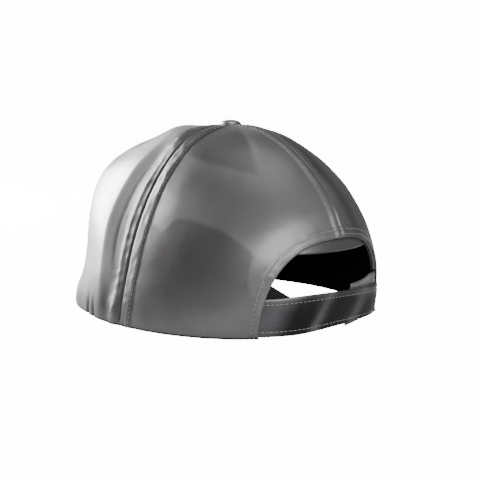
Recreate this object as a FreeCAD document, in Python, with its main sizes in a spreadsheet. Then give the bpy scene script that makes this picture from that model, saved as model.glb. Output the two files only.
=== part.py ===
import FreeCAD, Part
import math
import os

# Adjustable satin cap: a four-panel crown with stiffened fronts, a lining, taped seams, a
# sweatband, and a rear opening closed by a long hook-and-loop strap over a short tab.
# Frame: +Z up, rim on z = 0, front towards -Y, wearer's left towards +X. Millimetres.

doc = FreeCAD.newDocument("cap")
sheet = doc.addObject("Spreadsheet::Sheet", "Sizes")

SIZES = [
    ("crown_half_width", 84.1, "side seam to centre plane, before the rim flare"),
    ("crown_front_reach", 103.0, "front seam to the side seams' plane, before the rim flare"),
    ("crown_back_reach", 104.3, "back seam to the side seams' plane, before the rim draw-in"),
    ("crown_height", 117.5, "rim to the outside of the apex"),
    ("front_rise", 8.2, "meridian height exponent at the front seam, high is boxy"),
    ("side_rise", 2.06, "meridian height exponent at the side seams"),
    ("back_rise", 2.38, "meridian height exponent at the back seam"),
    ("front_round", 1.04, "meridian width exponent at the front seam, 1 is a straight slope"),
    ("side_round", 1.97, "meridian width exponent at the side seams"),
    ("back_round", 1.89, "meridian width exponent at the back seam"),
    ("front_flare", 0.148, "share of the reach added at the front of the rim"),
    ("side_flare", 0.041, "share of the width added at the sides of the rim"),
    ("back_flare", -0.078, "share of the reach taken off at the back of the rim"),
    ("flare_height_share", 0.2, "share of the crown height over which the flare fades"),
    ("apex_hole_radius", 3.0, "ring at the apex where the panels stop round the button's stem"),
    ("panel_cloth", 0.8, "satin with its fused backing"),
    ("stiffener_cloth", 0.9, "buckram behind the front panels"),
    ("lining_cloth", 0.4, "lining panels"),
    ("tape_cloth", 0.4, "seam tapes and the opening facing"),
    ("sweatband_cloth", 1.0, "sweatband"),
    ("strap_cloth", 1.1, "strap and tab, cloth folded double"),
    ("patch_cloth", 0.5, "hook or loop patch"),
    ("layer_gap", 0.15, "air between two layers of cloth"),
    ("strap_gap", 0.3, "air between the strap's patch and the tab's patch"),
    ("patch_gap", 0.05, "air between a patch and the strap or tab it is sewn to"),
    ("seam_gap", 0.1, "air between two panels at a seam, at the rim"),
    ("binding_height", 1.0, "rim binding under the panels' lower edges"),
    ("stiffener_low", 18.0, "height of the stiffeners' lower edge"),
    ("stiffener_top_radius", 22.0, "stiffeners stop this far from the apex axis"),
    ("lining_top_radius", 9.0, "linings stop this far from the apex axis"),
    ("tape_top_radius", 10.5, "tapes stop this far from the apex axis"),
    ("tape_width", 14.0, "seam tape width at the widest level"),
    ("sweatband_height", 34.5, "top of the sweatband"),
    ("sweatband_tail", 13.0, "sweatband past the left edge of the opening"),
    ("sweatband_tail_height", 24.0, "top of the tail's end, where its slanted edge stops"),
    ("opening_half_width", 50.8, "rear opening at the rim, centre plane to edge"),
    ("opening_height", 54.4, "top of the rear opening"),
    ("opening_exponent", 2.5, "arch between ellipse (2) and square corners (high)"),
    ("facing_edge_height", 47.5, "straight lower edge of the facing behind the arch"),
    ("facing_top", 70.0, "upper edge of the facing"),
    ("facing_reach", 12.0, "facing past the opening's edge at the rim"),
    ("lining_margin", 5.0, "lining held back from the opening's edge"),
    ("strap_low", 1.8, "lower edge of the strap"),
    ("strap_high", 25.6, "upper edge of the strap"),
    ("strap_end_offset", 41.0, "strap's free end past the centre plane, towards the right"),
    ("strap_root_length", 9.0, "strap and tab sewn in behind the panel's edge"),
    ("hinge_gap", 1.2, "air between a sewn root and the part that folds"),
    ("hem_clearance", 2.4, "strap's fold line past the opening's edge at the strap's top"),
    ("tab_low", 2.0, "lower edge of the short tab, at its fold"),
    ("tab_high", 27.2, "upper edge of the short tab, at its fold"),
    ("tab_tilt", 1.4, "tab's free end hanging lower than its fold"),
    ("tab_end_offset", 8.0, "tab's free end past the centre plane, towards the right"),
    ("tab_ramp", 6.5, "length over which the tab dips behind the strap"),
    ("patch_margin", 2.5, "strap or tab showing round its patch"),
    ("patch_length", 30.0, "hook or loop patch along the strap"),
    ("button_radius", 7.2, "covered button at the apex"),
    ("button_height", 3.0, "covered button above the apex"),
    ("button_wall", 0.5, "button cover, and the shell inside it"),
    ("stem_radius", 1.4, "stem through the apex"),
    ("washer_radius", 6.0, "washer inside the crown"),
    ("washer_thickness", 0.8, "washer inside the crown"),
    ("label_width", 26.0, "care label along the wall"),
    ("label_drop", 20.0, "care label's length below its sewn edge"),
    ("label_cloth", 0.4, "care label"),
    ("label_top", 29.0, "height of the care label's sewn edge"),
    ("label_standoff", 1.7, "care label off the sweatband at its middle"),
    ("label_gap", 0.6, "air over the label's edge, so that it swings clear of its root"),
    ("label_root_height", 1.6, "care label's sewn root"),
]

for row, (alias, value, note) in enumerate(SIZES, start=1):
    sheet.set("A%d" % row, alias)
    sheet.set("B%d" % row, str(value))
    sheet.set("C%d" % row, note)
    sheet.setAlias("B%d" % row, alias)
doc.recompute()


def size(alias):
    """A driving dimension, read back from the sheet."""
    return float(sheet.get(alias))


FRONT, LEFT, BACK, RIGHT = 0.0, 90.0, 180.0, 270.0
ARCH_STEPS = 36
PROFILE_STEPS = 400
SURFACE_STEP = 1e-4
LEVEL_TOLERANCE = 1e-7
GRID_UP = 22
GRID_ALONG_DEGREES = 8.0
TAB_ALONG_DEGREES = 2.0


def stations(turn):
    """How much of the front, side and back profiles a meridian carries."""
    facing = math.cos(math.radians(turn))
    return max(facing, 0.0) ** 2, 1.0 - facing ** 2, max(-facing, 0.0) ** 2


def mixed(turn, name):
    """A profile value at one meridian, blended from the three named ones."""
    front, side, back = stations(turn)
    return front * size("front_" + name) + side * size("side_" + name) + back * size("back_" + name)


def crown_point(turn, rise):
    """Outer crown surface at a turn from the front seam and a share of the height."""
    share = min(abs(rise), 1.0)
    width = (1.0 - share ** mixed(turn, "rise")) ** (1.0 / mixed(turn, "round"))
    width *= 1.0 + mixed(turn, "flare") * math.exp(-(share / size("flare_height_share")) ** 2)
    angle = math.radians(turn)
    reach = size("crown_front_reach") if math.cos(angle) > 0.0 else size("crown_back_reach")
    return FreeCAD.Vector(size("crown_half_width") * math.sin(angle) * width,
                          -reach * math.cos(angle) * width,
                          size("crown_height") * rise)


def rim_share(turn):
    """Flared width share at the rim."""
    return 1.0 + mixed(turn, "flare")


def depth_centre():
    """Middle of the crown's front-to-back extent, which the frame's origin sits under."""
    front = min(crown_point(FRONT, step / PROFILE_STEPS).y for step in range(PROFILE_STEPS))
    back = max(crown_point(BACK, step / PROFILE_STEPS).y for step in range(PROFILE_STEPS))
    return (front + back) / 2.0


CENTRE = FreeCAD.Vector(0.0, depth_centre(), 0.0)

# The apex axis as seen from the frame's origin, kept in the sheet for the button's parts.
APEX_ROW = len(SIZES) + 1
sheet.set("A%d" % APEX_ROW, "apex_offset")
sheet.set("B%d" % APEX_ROW, str(-CENTRE.y))
sheet.set("C%d" % APEX_ROW, "apex axis behind the frame's origin")
sheet.setAlias("B%d" % APEX_ROW, "apex_offset")
doc.recompute()


def inward(turn, rise):
    """Unit normal of the crown surface, towards the head."""
    along = crown_point(turn + math.degrees(SURFACE_STEP), rise)
    along = along - crown_point(turn - math.degrees(SURFACE_STEP), rise)
    up = crown_point(turn, rise + SURFACE_STEP) - crown_point(turn, rise - SURFACE_STEP)
    normal = along.cross(up)
    normal.normalize()
    towards_head = crown_point(turn, rise) * -1.0 + FreeCAD.Vector(0, 0, size("crown_height") / 2)
    return normal if normal.dot(towards_head) > 0.0 else normal * -1.0


def flat_radius(point):
    """Distance from the apex axis."""
    return math.hypot(point.x, point.y)


def cut_between(first, second, share):
    """Point a share of the way from the first to the second."""
    return first + (second - first) * share


def meridian(turn, depth, low, high, top_radius):
    """Evenly spaced points up one meridian at a depth below the outer surface.

    They start at the height low and end at the height high or at top_radius from the axis.
    """
    fine = []
    for step in range(PROFILE_STEPS):
        rise = math.sin(step / PROFILE_STEPS * math.pi / 2.0)
        fine.append(crown_point(turn, rise) + inward(turn, rise) * depth)
    kept = []
    for before, after in zip(fine, fine[1:]):
        if after.z <= low:
            continue
        if not kept:
            kept.append(cut_between(before, after, max(0.0, (low - before.z) / (after.z - before.z))))
        if after.z >= high:
            kept.append(cut_between(before, after, (high - before.z) / (after.z - before.z)))
            break
        if flat_radius(after) <= top_radius:
            span = flat_radius(before) - flat_radius(after)
            kept.append(cut_between(before, after, (flat_radius(before) - top_radius) / span))
            break
        kept.append(after)
    lengths = [0.0]
    for before, after in zip(kept, kept[1:]):
        lengths.append(lengths[-1] + before.distanceToPoint(after))
    points = []
    place = 0
    for step in range(GRID_UP + 1):
        target = lengths[-1] * step / GRID_UP
        while place < len(lengths) - 2 and lengths[place + 1] < target:
            place += 1
        span = lengths[place + 1] - lengths[place]
        points.append(cut_between(kept[place], kept[place + 1], (target - lengths[place]) / span))
    return [point - CENTRE for point in points]


def face_through(rows):
    """Smooth face through a grid of points."""
    surface = Part.BSplineSurface()
    surface.interpolate(rows)
    return surface


def boundary(surface, first_side, along_rows):
    """One boundary curve of a surface, as an edge."""
    low_u, high_u, low_v, high_v = surface.bounds()
    if along_rows:
        return surface.uIso(low_u if first_side else high_u).toShape()
    return surface.vIso(low_v if first_side else high_v).toShape()


def closing(first, second):
    """Face between matching edges of two skins, a true plane where both lie level."""
    levels = [point.z for edge in (first, second) for point in edge.discretize(5)]
    if max(levels) - min(levels) > LEVEL_TOLERANCE:
        return Part.makeRuledSurface(first, second)
    ends = [Part.makeLine(first.Vertexes[index].Point, second.Vertexes[index].Point)
            for index in (0, -1)]
    return Part.Face(Part.Wire(Part.sortEdges([first, second] + ends)[0]))


def cloth(turns, outer, thickness, low, high=1e6, top_radius=0.0):
    """Closed sheet of cloth following the crown, between two depths.

    outer, low and high are values or functions of the turn.
    """
    def at(value, turn):
        return value(turn) if callable(value) else value

    skins = []
    for extra in (0.0, thickness):
        rows = []
        for turn in turns:
            rows.append(meridian(turn, at(outer, turn) + extra, at(low, turn), at(high, turn),
                                 top_radius))
        skins.append(face_through(rows))
    faces = [skin.toShape() for skin in skins]
    for along_rows in (True, False):
        for first_side in (True, False):
            faces.append(closing(*(boundary(skin, first_side, along_rows) for skin in skins)))
    shell = Part.makeShell(faces)
    shell.sewShape()
    solid = Part.makeSolid(shell)
    if solid.Volume < 0.0:
        solid.reverse()
    return solid


def spread(first, last, apart=GRID_ALONG_DEGREES):
    """Evenly spaced turns from first to last, both included, at most so many degrees apart."""
    count = max(4, math.ceil(abs(last - first) / apart))
    return [first + (last - first) * step / count for step in range(count + 1)]


def turn_at(offset, back=True, left=True):
    """Turn of the meridian whose rim point is this far from the centre plane."""
    low, high = 0.0, 90.0
    for _ in range(60):
        middle = (low + high) / 2.0
        turn = BACK - middle if back else middle
        reach = size("crown_half_width") * math.sin(math.radians(middle)) * rim_share(turn)
        if reach < offset:
            low = middle
        else:
            high = middle
    turn = BACK - low if back else low
    return turn if left else 360.0 - turn


def arch_reach(height):
    """Half width of the rear opening at a height above the rim."""
    share = 1.0 - (height / size("opening_height")) ** size("opening_exponent")
    return size("opening_half_width") * share ** (1.0 / size("opening_exponent"))


def arch(margin=0.0, top=None):
    """Prism along Y with the rear opening's outline, cut flat at top."""
    half_width = size("opening_half_width") + margin
    height = size("opening_height") + margin
    exponent = size("opening_exponent")
    points = []
    for step in range(ARCH_STEPS + 1):
        angle = math.pi * step / ARCH_STEPS
        across = abs(math.cos(angle)) ** (2.0 / exponent) * math.copysign(1.0, math.cos(angle))
        points.append(FreeCAD.Vector(half_width * across, 0.0,
                                     height * math.sin(angle) ** (2.0 / exponent)))
    curve = Part.BSplineCurve()
    curve.interpolate(points)
    below = -2.0 * size("binding_height")
    corners = [points[-1], FreeCAD.Vector(-half_width, 0.0, below),
               FreeCAD.Vector(half_width, 0.0, below), points[0]]
    edges = [curve.toShape()]
    edges += [Part.makeLine(before, after) for before, after in zip(corners, corners[1:])]
    prism = Part.Face(Part.Wire(edges)).extrude(FreeCAD.Vector(0, 2 * size("crown_back_reach"), 0))
    if top is not None:
        block = Part.makeBox(4 * half_width, 4 * size("crown_back_reach"), top - below,
                             FreeCAD.Vector(-2 * half_width, -size("crown_back_reach"), below))
        prism = prism.common(block)
    return prism


NODES = []


def place_feature(label, shape):
    """Part::Feature holding one sub-part."""
    feature = doc.addObject("Part::Feature", label)
    feature.Label = label
    feature.Shape = shape
    feature.Placement = FreeCAD.Placement()
    NODES.append(feature)


# Depths of the layers under the crown's outer surface.
second_depth = size("panel_cloth") + size("layer_gap")
lining_depth = second_depth + max(size("strap_cloth"), size("stiffener_cloth")) + size("layer_gap")
tape_depth = lining_depth + size("lining_cloth") + size("layer_gap")
sweatband_depth = tape_depth + size("tape_cloth") + size("layer_gap")
full_depth = sweatband_depth + size("sweatband_cloth")
panel_low = size("binding_height") + size("layer_gap")

left_edge = turn_at(size("opening_half_width"))
right_edge = 360.0 - left_edge
seam_half_turn = math.degrees(size("seam_gap") / 2.0 / size("crown_half_width"))

QUARTERS = [
    ("front_left", FRONT, LEFT),
    ("rear_left", LEFT, BACK),
    ("rear_right", BACK, RIGHT),
    ("front_right", RIGHT, 360.0),
]

# Crown panels, front stiffeners and lining panels.
for name, start, end in QUARTERS:
    turns = spread(start + seam_half_turn, end - seam_half_turn)
    panel = cloth(turns, 0.0, size("panel_cloth"), panel_low, top_radius=size("apex_hole_radius"))
    lining = cloth(turns, lining_depth, size("lining_cloth"), panel_low,
                   top_radius=size("lining_top_radius"))
    if name.startswith("rear"):
        panel = panel.cut(arch())
        lining = lining.cut(arch(size("lining_margin")))
    else:
        stiffener = cloth(turns, second_depth, size("stiffener_cloth"), size("stiffener_low"),
                          top_radius=size("stiffener_top_radius"))
        place_feature(name + "_stiffener", stiffener)
    place_feature(name + "_panel", panel)
    place_feature(name + "_lining", lining)

# Seam tapes inside the crown, one over each seam.
tape_half_turn = math.degrees(size("tape_width") / 2.0 / size("crown_half_width"))
TAPES = [
    ("front_seam_tape", FRONT, panel_low),
    ("left_seam_tape", LEFT, panel_low),
    ("back_seam_tape", BACK, size("facing_top") + size("layer_gap")),
    ("right_seam_tape", RIGHT, panel_low),
]
for name, seam, low in TAPES:
    turns = spread(seam - tape_half_turn, seam + tape_half_turn)
    place_feature(name, cloth(turns, tape_depth, size("tape_cloth"), low,
                              top_radius=size("tape_top_radius")))

# Facing behind the arch: its sides follow the opening, its lower edge is straight.
facing_start = turn_at(size("opening_half_width") + size("facing_reach"))
facing = cloth(spread(facing_start, 360.0 - facing_start), tape_depth, size("tape_cloth"),
               panel_low, size("facing_top"))
place_feature("opening_facing", facing.cut(arch(top=size("facing_edge_height"))))


def slant_cutter():
    """Prism along Y that takes the slanted corner off the sweatband's tail."""
    edge = size("opening_half_width")
    end = edge - size("sweatband_tail")
    above = size("sweatband_height") + size("sweatband_cloth")
    outline = [(edge, above), (edge, size("sweatband_height")),
               (end, size("sweatband_tail_height")),
               (end - size("sweatband_tail"), size("sweatband_tail_height")),
               (end - size("sweatband_tail"), above)]
    corners = [FreeCAD.Vector(across, 0.0, up) for across, up in outline]
    face = Part.Face(Part.makePolygon(corners + corners[:1]))
    return face.extrude(FreeCAD.Vector(0, 2 * size("crown_back_reach"), 0))


# Sweatband, from the opening's right edge round the front to a tail past its left edge.
tail_turn = turn_at(size("opening_half_width") - size("sweatband_tail"))
sweatband = cloth(spread(right_edge - 360.0, tail_turn), sweatband_depth,
                  size("sweatband_cloth"), panel_low, size("sweatband_height"))
place_feature("sweatband", sweatband.cut(slant_cutter()))

# Binding closing the layers along the rim.
rim_turns = spread(right_edge - 360.0, left_edge)
place_feature("rim_binding", cloth(rim_turns, 0.0, full_depth, 0.0, size("binding_height")))

# Long strap: sewn root behind the left edge, then the folding part out to its free end.
strap_height = (size("strap_low"), size("strap_high"))
strap_fold = arch_reach(size("strap_high")) - size("hem_clearance")
fold_left = turn_at(strap_fold)
root_end_left = turn_at(strap_fold + size("hinge_gap"))
root_start_left = turn_at(size("opening_half_width") + size("strap_root_length"))
strap_end = turn_at(size("strap_end_offset"), left=False)
place_feature("long_strap_root", cloth(spread(root_start_left, root_end_left), second_depth,
                                       size("strap_cloth"), *strap_height))
place_feature("long_strap", cloth(spread(fold_left, strap_end), second_depth,
                                  size("strap_cloth"), *strap_height))

# Loop patch on the strap's inside, at its free end.
patch_depth = second_depth + size("strap_cloth") + size("patch_gap")
patch_height = (strap_height[0] + size("patch_margin"), strap_height[1] - size("patch_margin"))
patch_end = turn_at(size("strap_end_offset") - size("patch_margin"), left=False)
patch_start = turn_at(size("strap_end_offset") - size("patch_margin") - size("patch_length"),
                      left=False)
place_feature("loop_patch", cloth(spread(patch_start, patch_end), patch_depth,
                                  size("patch_cloth"), *patch_height))

# Short tab: sewn root behind the right edge, then the folding part behind the strap.
hook_depth = patch_depth + size("patch_cloth") + size("strap_gap")
tab_depth = hook_depth + size("patch_cloth") + size("patch_gap")
tab_fold = arch_reach(size("tab_high")) - size("hem_clearance")
fold_right = turn_at(tab_fold, left=False)
root_end_right = turn_at(tab_fold + size("hinge_gap"), left=False)
root_start_right = 360.0 - root_start_left
ramp_end = turn_at(tab_fold - size("tab_ramp"), left=False)
tab_end = turn_at(size("tab_end_offset"), left=False)


def tab_outer(turn):
    """Depth of the tab's outer face: level with its root at the fold, then behind the strap."""
    share = min(1.0, (fold_right - turn) / (fold_right - ramp_end))
    smooth = share * share * (3.0 - 2.0 * share)
    return second_depth + (tab_depth - second_depth) * smooth


def hung(height):
    """Height along the tab, falling by its tilt towards the free end."""
    def at(turn):
        share = (fold_right - turn) / (fold_right - tab_end)
        return height - size("tab_tilt") * share
    return at


tab_height = (size("tab_low"), size("tab_high"))
place_feature("short_tab_root", cloth(spread(root_end_right, root_start_right), second_depth,
                                      size("strap_cloth"), *tab_height))
place_feature("short_tab", cloth(spread(tab_end, fold_right, TAB_ALONG_DEGREES), tab_outer,
                                 size("strap_cloth"), hung(size("tab_low")),
                                 hung(size("tab_high"))))

# Hook patch on the tab's outside, facing the loop patch.
hook_start = turn_at(size("tab_end_offset") + size("patch_margin"), left=False)
hook_end = turn_at(size("strap_end_offset") - size("patch_margin"), left=False)
place_feature("hook_patch", cloth(spread(hook_start, hook_end), hook_depth,
                                  size("patch_cloth"), *patch_height))


# Care label: a sewn root on the sweatband, and the leaf that hangs from it on the left side.
label_half_turn = math.degrees(size("label_width") / 2.0 / size("crown_front_reach"))
place_feature("care_label_root", cloth(spread(LEFT - label_half_turn, LEFT + label_half_turn),
                                       full_depth + size("layer_gap") / 2.0,
                                       size("label_standoff"),
                                       size("label_top") + size("label_gap"),
                                       size("label_top") + size("label_gap")
                                       + size("label_root_height")))
label_wall = min(point.x for point in meridian(LEFT, full_depth, panel_low, size("label_top"), 0.0))


def primitive(kind, label, **expressions):
    """Part primitive whose properties are bound to the sheet.

    A double underscore in a property's name stands for a dot.
    """
    item = doc.addObject("Part::" + kind, label)
    item.Label = label
    for name, expression in expressions.items():
        item.setExpression(name.replace("__", "."), expression)
    return item


def combined(kind, label, base, tool):
    """Boolean of two objects, kept as a document object."""
    item = doc.addObject("Part::" + kind, label)
    item.Label = label
    item.Base = base
    item.Tool = tool
    return item


label_leaf = primitive("Box", "care_label", Length="Sizes.label_cloth",
                       Width="Sizes.label_width", Height="Sizes.label_drop")
label_leaf.Placement.Base = FreeCAD.Vector(label_wall - size("label_standoff"),
                                           -CENTRE.y - size("label_width") / 2.0,
                                           size("label_top") - size("label_drop"))
NODES.append(label_leaf)

# Button: a cloth cover over a metal shell with a stem, held by a washer inside the crown.
APEX = "Sizes.apex_offset"
BUTTON_BASE = "Sizes.crown_height + Sizes.layer_gap"
WASHER_TOP = ("Sizes.crown_height - Sizes.panel_cloth - Sizes.layer_gap"
              " - Sizes.crown_height * Sizes.washer_radius"
              " / (Sizes.crown_front_reach * Sizes.front_rise)")
WASHER_BASE = WASHER_TOP + " - Sizes.washer_thickness"


def dome(label, inset):
    """Upper half of an ellipsoid on the button's base, inset from the button's outside."""
    half = primitive("Ellipsoid", label, Radius1="Sizes.button_height - " + inset,
                     Radius2="Sizes.button_radius - " + inset,
                     Placement__Base__y=APEX, Placement__Base__z=BUTTON_BASE)
    half.Angle1 = 0.0
    half.Angle2 = 90.0
    half.Angle3 = 360.0
    return half


COVER_INSIDE = "Sizes.button_wall"
SHELL_OUTSIDE = "(Sizes.button_wall + Sizes.layer_gap / 3)"
SHELL_INSIDE = "(2 * Sizes.button_wall + Sizes.layer_gap / 3)"
NODES.append(combined("Cut", "button_cover", dome("cover_outside", "0 mm / 1 mm"),
                      dome("cover_inside", COVER_INSIDE)))
shell_dome = combined("Cut", "shell_dome", dome("shell_outside", SHELL_OUTSIDE),
                      dome("shell_inside", SHELL_INSIDE))
stem = primitive("Cylinder", "stem", Radius="Sizes.stem_radius",
                 Height=(BUTTON_BASE + " + Sizes.button_height - 1.5 * Sizes.button_wall - ("
                         + WASHER_BASE + ")"),
                 Placement__Base__y=APEX,
                 Placement__Base__z=WASHER_BASE)
NODES.append(combined("Fuse", "button_shell", shell_dome, stem))
washer_disc = primitive("Cylinder", "washer_disc", Radius="Sizes.washer_radius",
                        Height="Sizes.washer_thickness",
                        Placement__Base__y=APEX, Placement__Base__z=WASHER_BASE)
washer_hole = primitive("Cylinder", "washer_hole",
                        Radius="Sizes.stem_radius + Sizes.layer_gap / 3",
                        Height="Sizes.washer_thickness",
                        Placement__Base__y=APEX,
                 Placement__Base__z=WASHER_BASE)
NODES.append(combined("Cut", "button_washer", washer_disc, washer_hole))

doc.recompute()
for item in doc.Objects:
    if "Invalid" in item.State or "Error" in item.State:
        raise RuntimeError(item.Label + " did not recompute: " + str(item.State))
os.makedirs("parts", exist_ok=True)
for node in NODES:
    if node.Shape.isNull() or not node.Shape.isValid() or len(node.Shape.Solids) != 1:
        raise RuntimeError(node.Label + " is not one valid solid")
    node.Shape.exportStep("parts/" + node.Label + ".step")
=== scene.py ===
"""Looks of an adjustable satin cap: crown, arched rear opening, strap, lining and stitching."""
from __future__ import annotations

import logging
import math
from dataclasses import dataclass
from enum import Enum
from typing import Callable

import bmesh
import bpy
import numpy as np
from mathutils import Matrix, Vector, noise


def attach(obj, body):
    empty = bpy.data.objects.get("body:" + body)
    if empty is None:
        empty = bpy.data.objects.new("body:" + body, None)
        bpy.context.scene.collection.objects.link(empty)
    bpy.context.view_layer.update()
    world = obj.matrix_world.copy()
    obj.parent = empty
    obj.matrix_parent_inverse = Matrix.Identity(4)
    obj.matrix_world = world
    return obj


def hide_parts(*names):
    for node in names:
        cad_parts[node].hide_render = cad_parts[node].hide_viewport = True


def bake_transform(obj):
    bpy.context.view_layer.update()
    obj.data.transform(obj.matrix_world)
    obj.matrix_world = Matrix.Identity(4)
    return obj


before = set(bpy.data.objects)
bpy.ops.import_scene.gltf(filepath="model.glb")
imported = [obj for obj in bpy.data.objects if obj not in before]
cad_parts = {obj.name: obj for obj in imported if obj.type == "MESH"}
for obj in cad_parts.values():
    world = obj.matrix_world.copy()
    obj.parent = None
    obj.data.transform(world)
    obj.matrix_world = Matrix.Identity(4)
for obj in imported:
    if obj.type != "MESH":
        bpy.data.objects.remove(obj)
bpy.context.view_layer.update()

LOG = logging.getLogger("cap")
Grid = np.ndarray
Relief = Callable[[Grid, Grid, Grid], Grid]


class Seam(Enum):
    """Seams of the crown, by their turn from the front in degrees."""

    FRONT = 0.0
    LEFT = 90.0
    BACK = 180.0
    RIGHT = 270.0


class Quarter(Enum):
    """Quarter panels of the crown, by the turns they span."""

    FRONT_LEFT = (0.0, 90.0)
    REAR_LEFT = (90.0, 180.0)
    REAR_RIGHT = (180.0, 270.0)
    FRONT_RIGHT = (270.0, 360.0)

    @property
    def label(self) -> str:
        """Name used for this quarter's pieces."""
        return self.name.lower()

    @property
    def is_rear(self) -> bool:
        """Whether the rear opening is cut into this quarter."""
        return self in (Quarter.REAR_LEFT, Quarter.REAR_RIGHT)


def smooth(values: Grid) -> Grid:
    """Smooth step of values clipped to 0 and 1."""
    clipped = np.clip(values, 0.0, 1.0)
    return clipped * clipped * (3.0 - 2.0 * clipped)


def bump(values: Grid, width: float) -> Grid:
    """Bell curve of height 1 and the given half width."""
    return np.exp(-(values / width) ** 2)


def ripple(points: Grid, scale: float, seed: float) -> Grid:
    """Smooth noise from -1 to 1 at points.

    Args:
        points: Positions in metres, shape (..., 3).
        scale: Wavelength in metres.
        seed: Shift that picks another pattern.

    Returns:
        One value per point.
    """
    flat = points.reshape(-1, 3) / scale
    values = [noise.noise(Vector((x + seed, y - seed, z + 2.0 * seed))) for x, y, z in flat]
    return np.array(values).reshape(points.shape[:-1])


@dataclass(frozen=True)
class CrownForm:
    """Outer surface of the crown, by turn from the front and lift from the rim.

    A lift of 0 is the rim and 1 the apex. Triples are for the front, sides and back.
    """

    half_width: float = 0.0841
    front_reach: float = 0.103
    back_reach: float = 0.1043
    height: float = 0.1175
    rise: tuple[float, float, float] = (8.2, 2.06, 2.38)
    rounding: tuple[float, float, float] = (1.04, 1.97, 1.89)
    flare: tuple[float, float, float] = (0.148, 0.041, -0.078)
    flare_fade: float = 0.2
    apex_back: float = 0.00883

    def mixed(self, turn: Grid, values: tuple[float, float, float]) -> Grid:
        """Blend of the front, side and back values at a turn.

        Args:
            turn: Degrees from the front seam.
            values: Front, side and back values.

        Returns:
            One value per turn.
        """
        facing = np.cos(np.radians(turn))
        ahead = np.maximum(facing, 0.0) ** 2
        behind = np.maximum(-facing, 0.0) ** 2
        return ahead * values[0] + (1.0 - facing ** 2) * values[1] + behind * values[2]

    def surface(self, turn: Grid, lift: Grid) -> Grid:
        """Points of the outer surface.

        Args:
            turn: Degrees from the front seam, towards the wearer's left.
            lift: 0 at the rim to 1 at the apex.

        Returns:
            Positions in metres, shape (..., 3).
        """
        share = np.sin(lift * math.pi / 2.0)
        size = np.abs(share)
        width = (1.0 - size ** self.mixed(turn, self.rise)) ** (1.0 / self.mixed(turn, self.rounding))
        width = width * (1.0 + self.mixed(turn, self.flare) * np.exp(-(size / self.flare_fade) ** 2))
        angle = np.radians(turn)
        reach = np.where(np.cos(angle) > 0.0, self.front_reach, self.back_reach)
        return np.stack([self.half_width * np.sin(angle) * width,
                         self.apex_back - reach * np.cos(angle) * width,
                         self.height * share], axis=-1)

    def outward(self, turn: Grid, lift: Grid) -> Grid:
        """Unit normals of the outer surface, away from the head.

        Args:
            turn: Degrees from the front seam.
            lift: 0 at the rim to 1 at the apex.

        Returns:
            Unit vectors, shape (..., 3).
        """
        step = 1e-4
        along = self.surface(turn + np.degrees(step), lift) - self.surface(turn - np.degrees(step), lift)
        safe = np.minimum(lift, 1.0 - 2.0 * step)
        up = self.surface(turn, safe + step) - self.surface(turn, safe - step)
        normal = np.cross(along, up)
        normal /= np.maximum(np.linalg.norm(normal, axis=-1, keepdims=True), 1e-12)
        away = self.surface(turn, lift) - np.array([0.0, self.apex_back, self.height / 2.0])
        flip = np.sign(np.sum(normal * away, axis=-1, keepdims=True))
        return normal * flip

    def place(self, turn: Grid, lift: Grid, out: Grid | float) -> Grid:
        """Points at a distance outside the outer surface, negative for inside.

        Args:
            turn: Degrees from the front seam.
            lift: 0 at the rim to 1 at the apex.
            out: Metres outside the surface.

        Returns:
            Positions in metres, shape (..., 3).
        """
        turn, lift = np.broadcast_arrays(np.asarray(turn, float), np.asarray(lift, float))
        out = np.broadcast_to(np.asarray(out, float), turn.shape)
        return self.surface(turn, lift) + self.outward(turn, lift) * out[..., None]

    def lift_at(self, height: Grid | float) -> Grid:
        """Lift whose point is at a height above the rim."""
        return np.arcsin(np.clip(np.asarray(height, float) / self.height, 0.0, 1.0)) * 2.0 / math.pi

    def radius(self, turn: Grid, lift: Grid) -> Grid:
        """Distance from the apex axis."""
        point = self.surface(turn, lift)
        return np.hypot(point[..., 0], point[..., 1] - self.apex_back)

    def lift_at_radius(self, turn: Grid, radius: float) -> Grid:
        """Lift at which a meridian comes this near to the apex axis.

        Args:
            turn: Degrees from the front seam.
            radius: Metres from the apex axis.

        Returns:
            One lift per turn.
        """
        turn = np.asarray(turn, float)
        low, high = np.full(turn.shape, 0.5), np.ones(turn.shape)
        for _ in range(40):
            middle = (low + high) / 2.0
            outside = self.radius(turn, middle) > radius
            low, high = np.where(outside, middle, low), np.where(outside, high, middle)
        return low

    def turn_at(self, across: Grid | float, height: Grid | float) -> Grid:
        """Turn of the rear surface's point at a place across and a height.

        Args:
            across: Metres from the centre plane, positive towards the wearer's left.
            height: Metres above the rim.

        Returns:
            Turns from 90 to 270 degrees.
        """
        across, height = np.broadcast_arrays(np.asarray(across, float), np.asarray(height, float))
        lift = self.lift_at(height)
        low, high = np.full(across.shape, 90.0), np.full(across.shape, 180.0)
        for _ in range(45):
            middle = (low + high) / 2.0
            outside = self.surface(middle, lift)[..., 0] > np.abs(across)
            low, high = np.where(outside, middle, low), np.where(outside, high, middle)
        return np.where(across >= 0.0, low, 360.0 - low)

    def beside(self, seam: Seam, offset: float, lift: Grid) -> Grid:
        """Turns of a line beside a seam, positive towards larger turns.

        Args:
            seam: The seam to follow.
            offset: Metres beside it, as turned at the apex axis.
            lift: Lifts along the line.

        Returns:
            One turn per lift.
        """
        turn = np.full(np.shape(lift), seam.value)
        for _ in range(4):
            turn = seam.value + np.degrees(offset / np.maximum(self.radius(turn, lift), 1e-4))
        return turn


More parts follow.
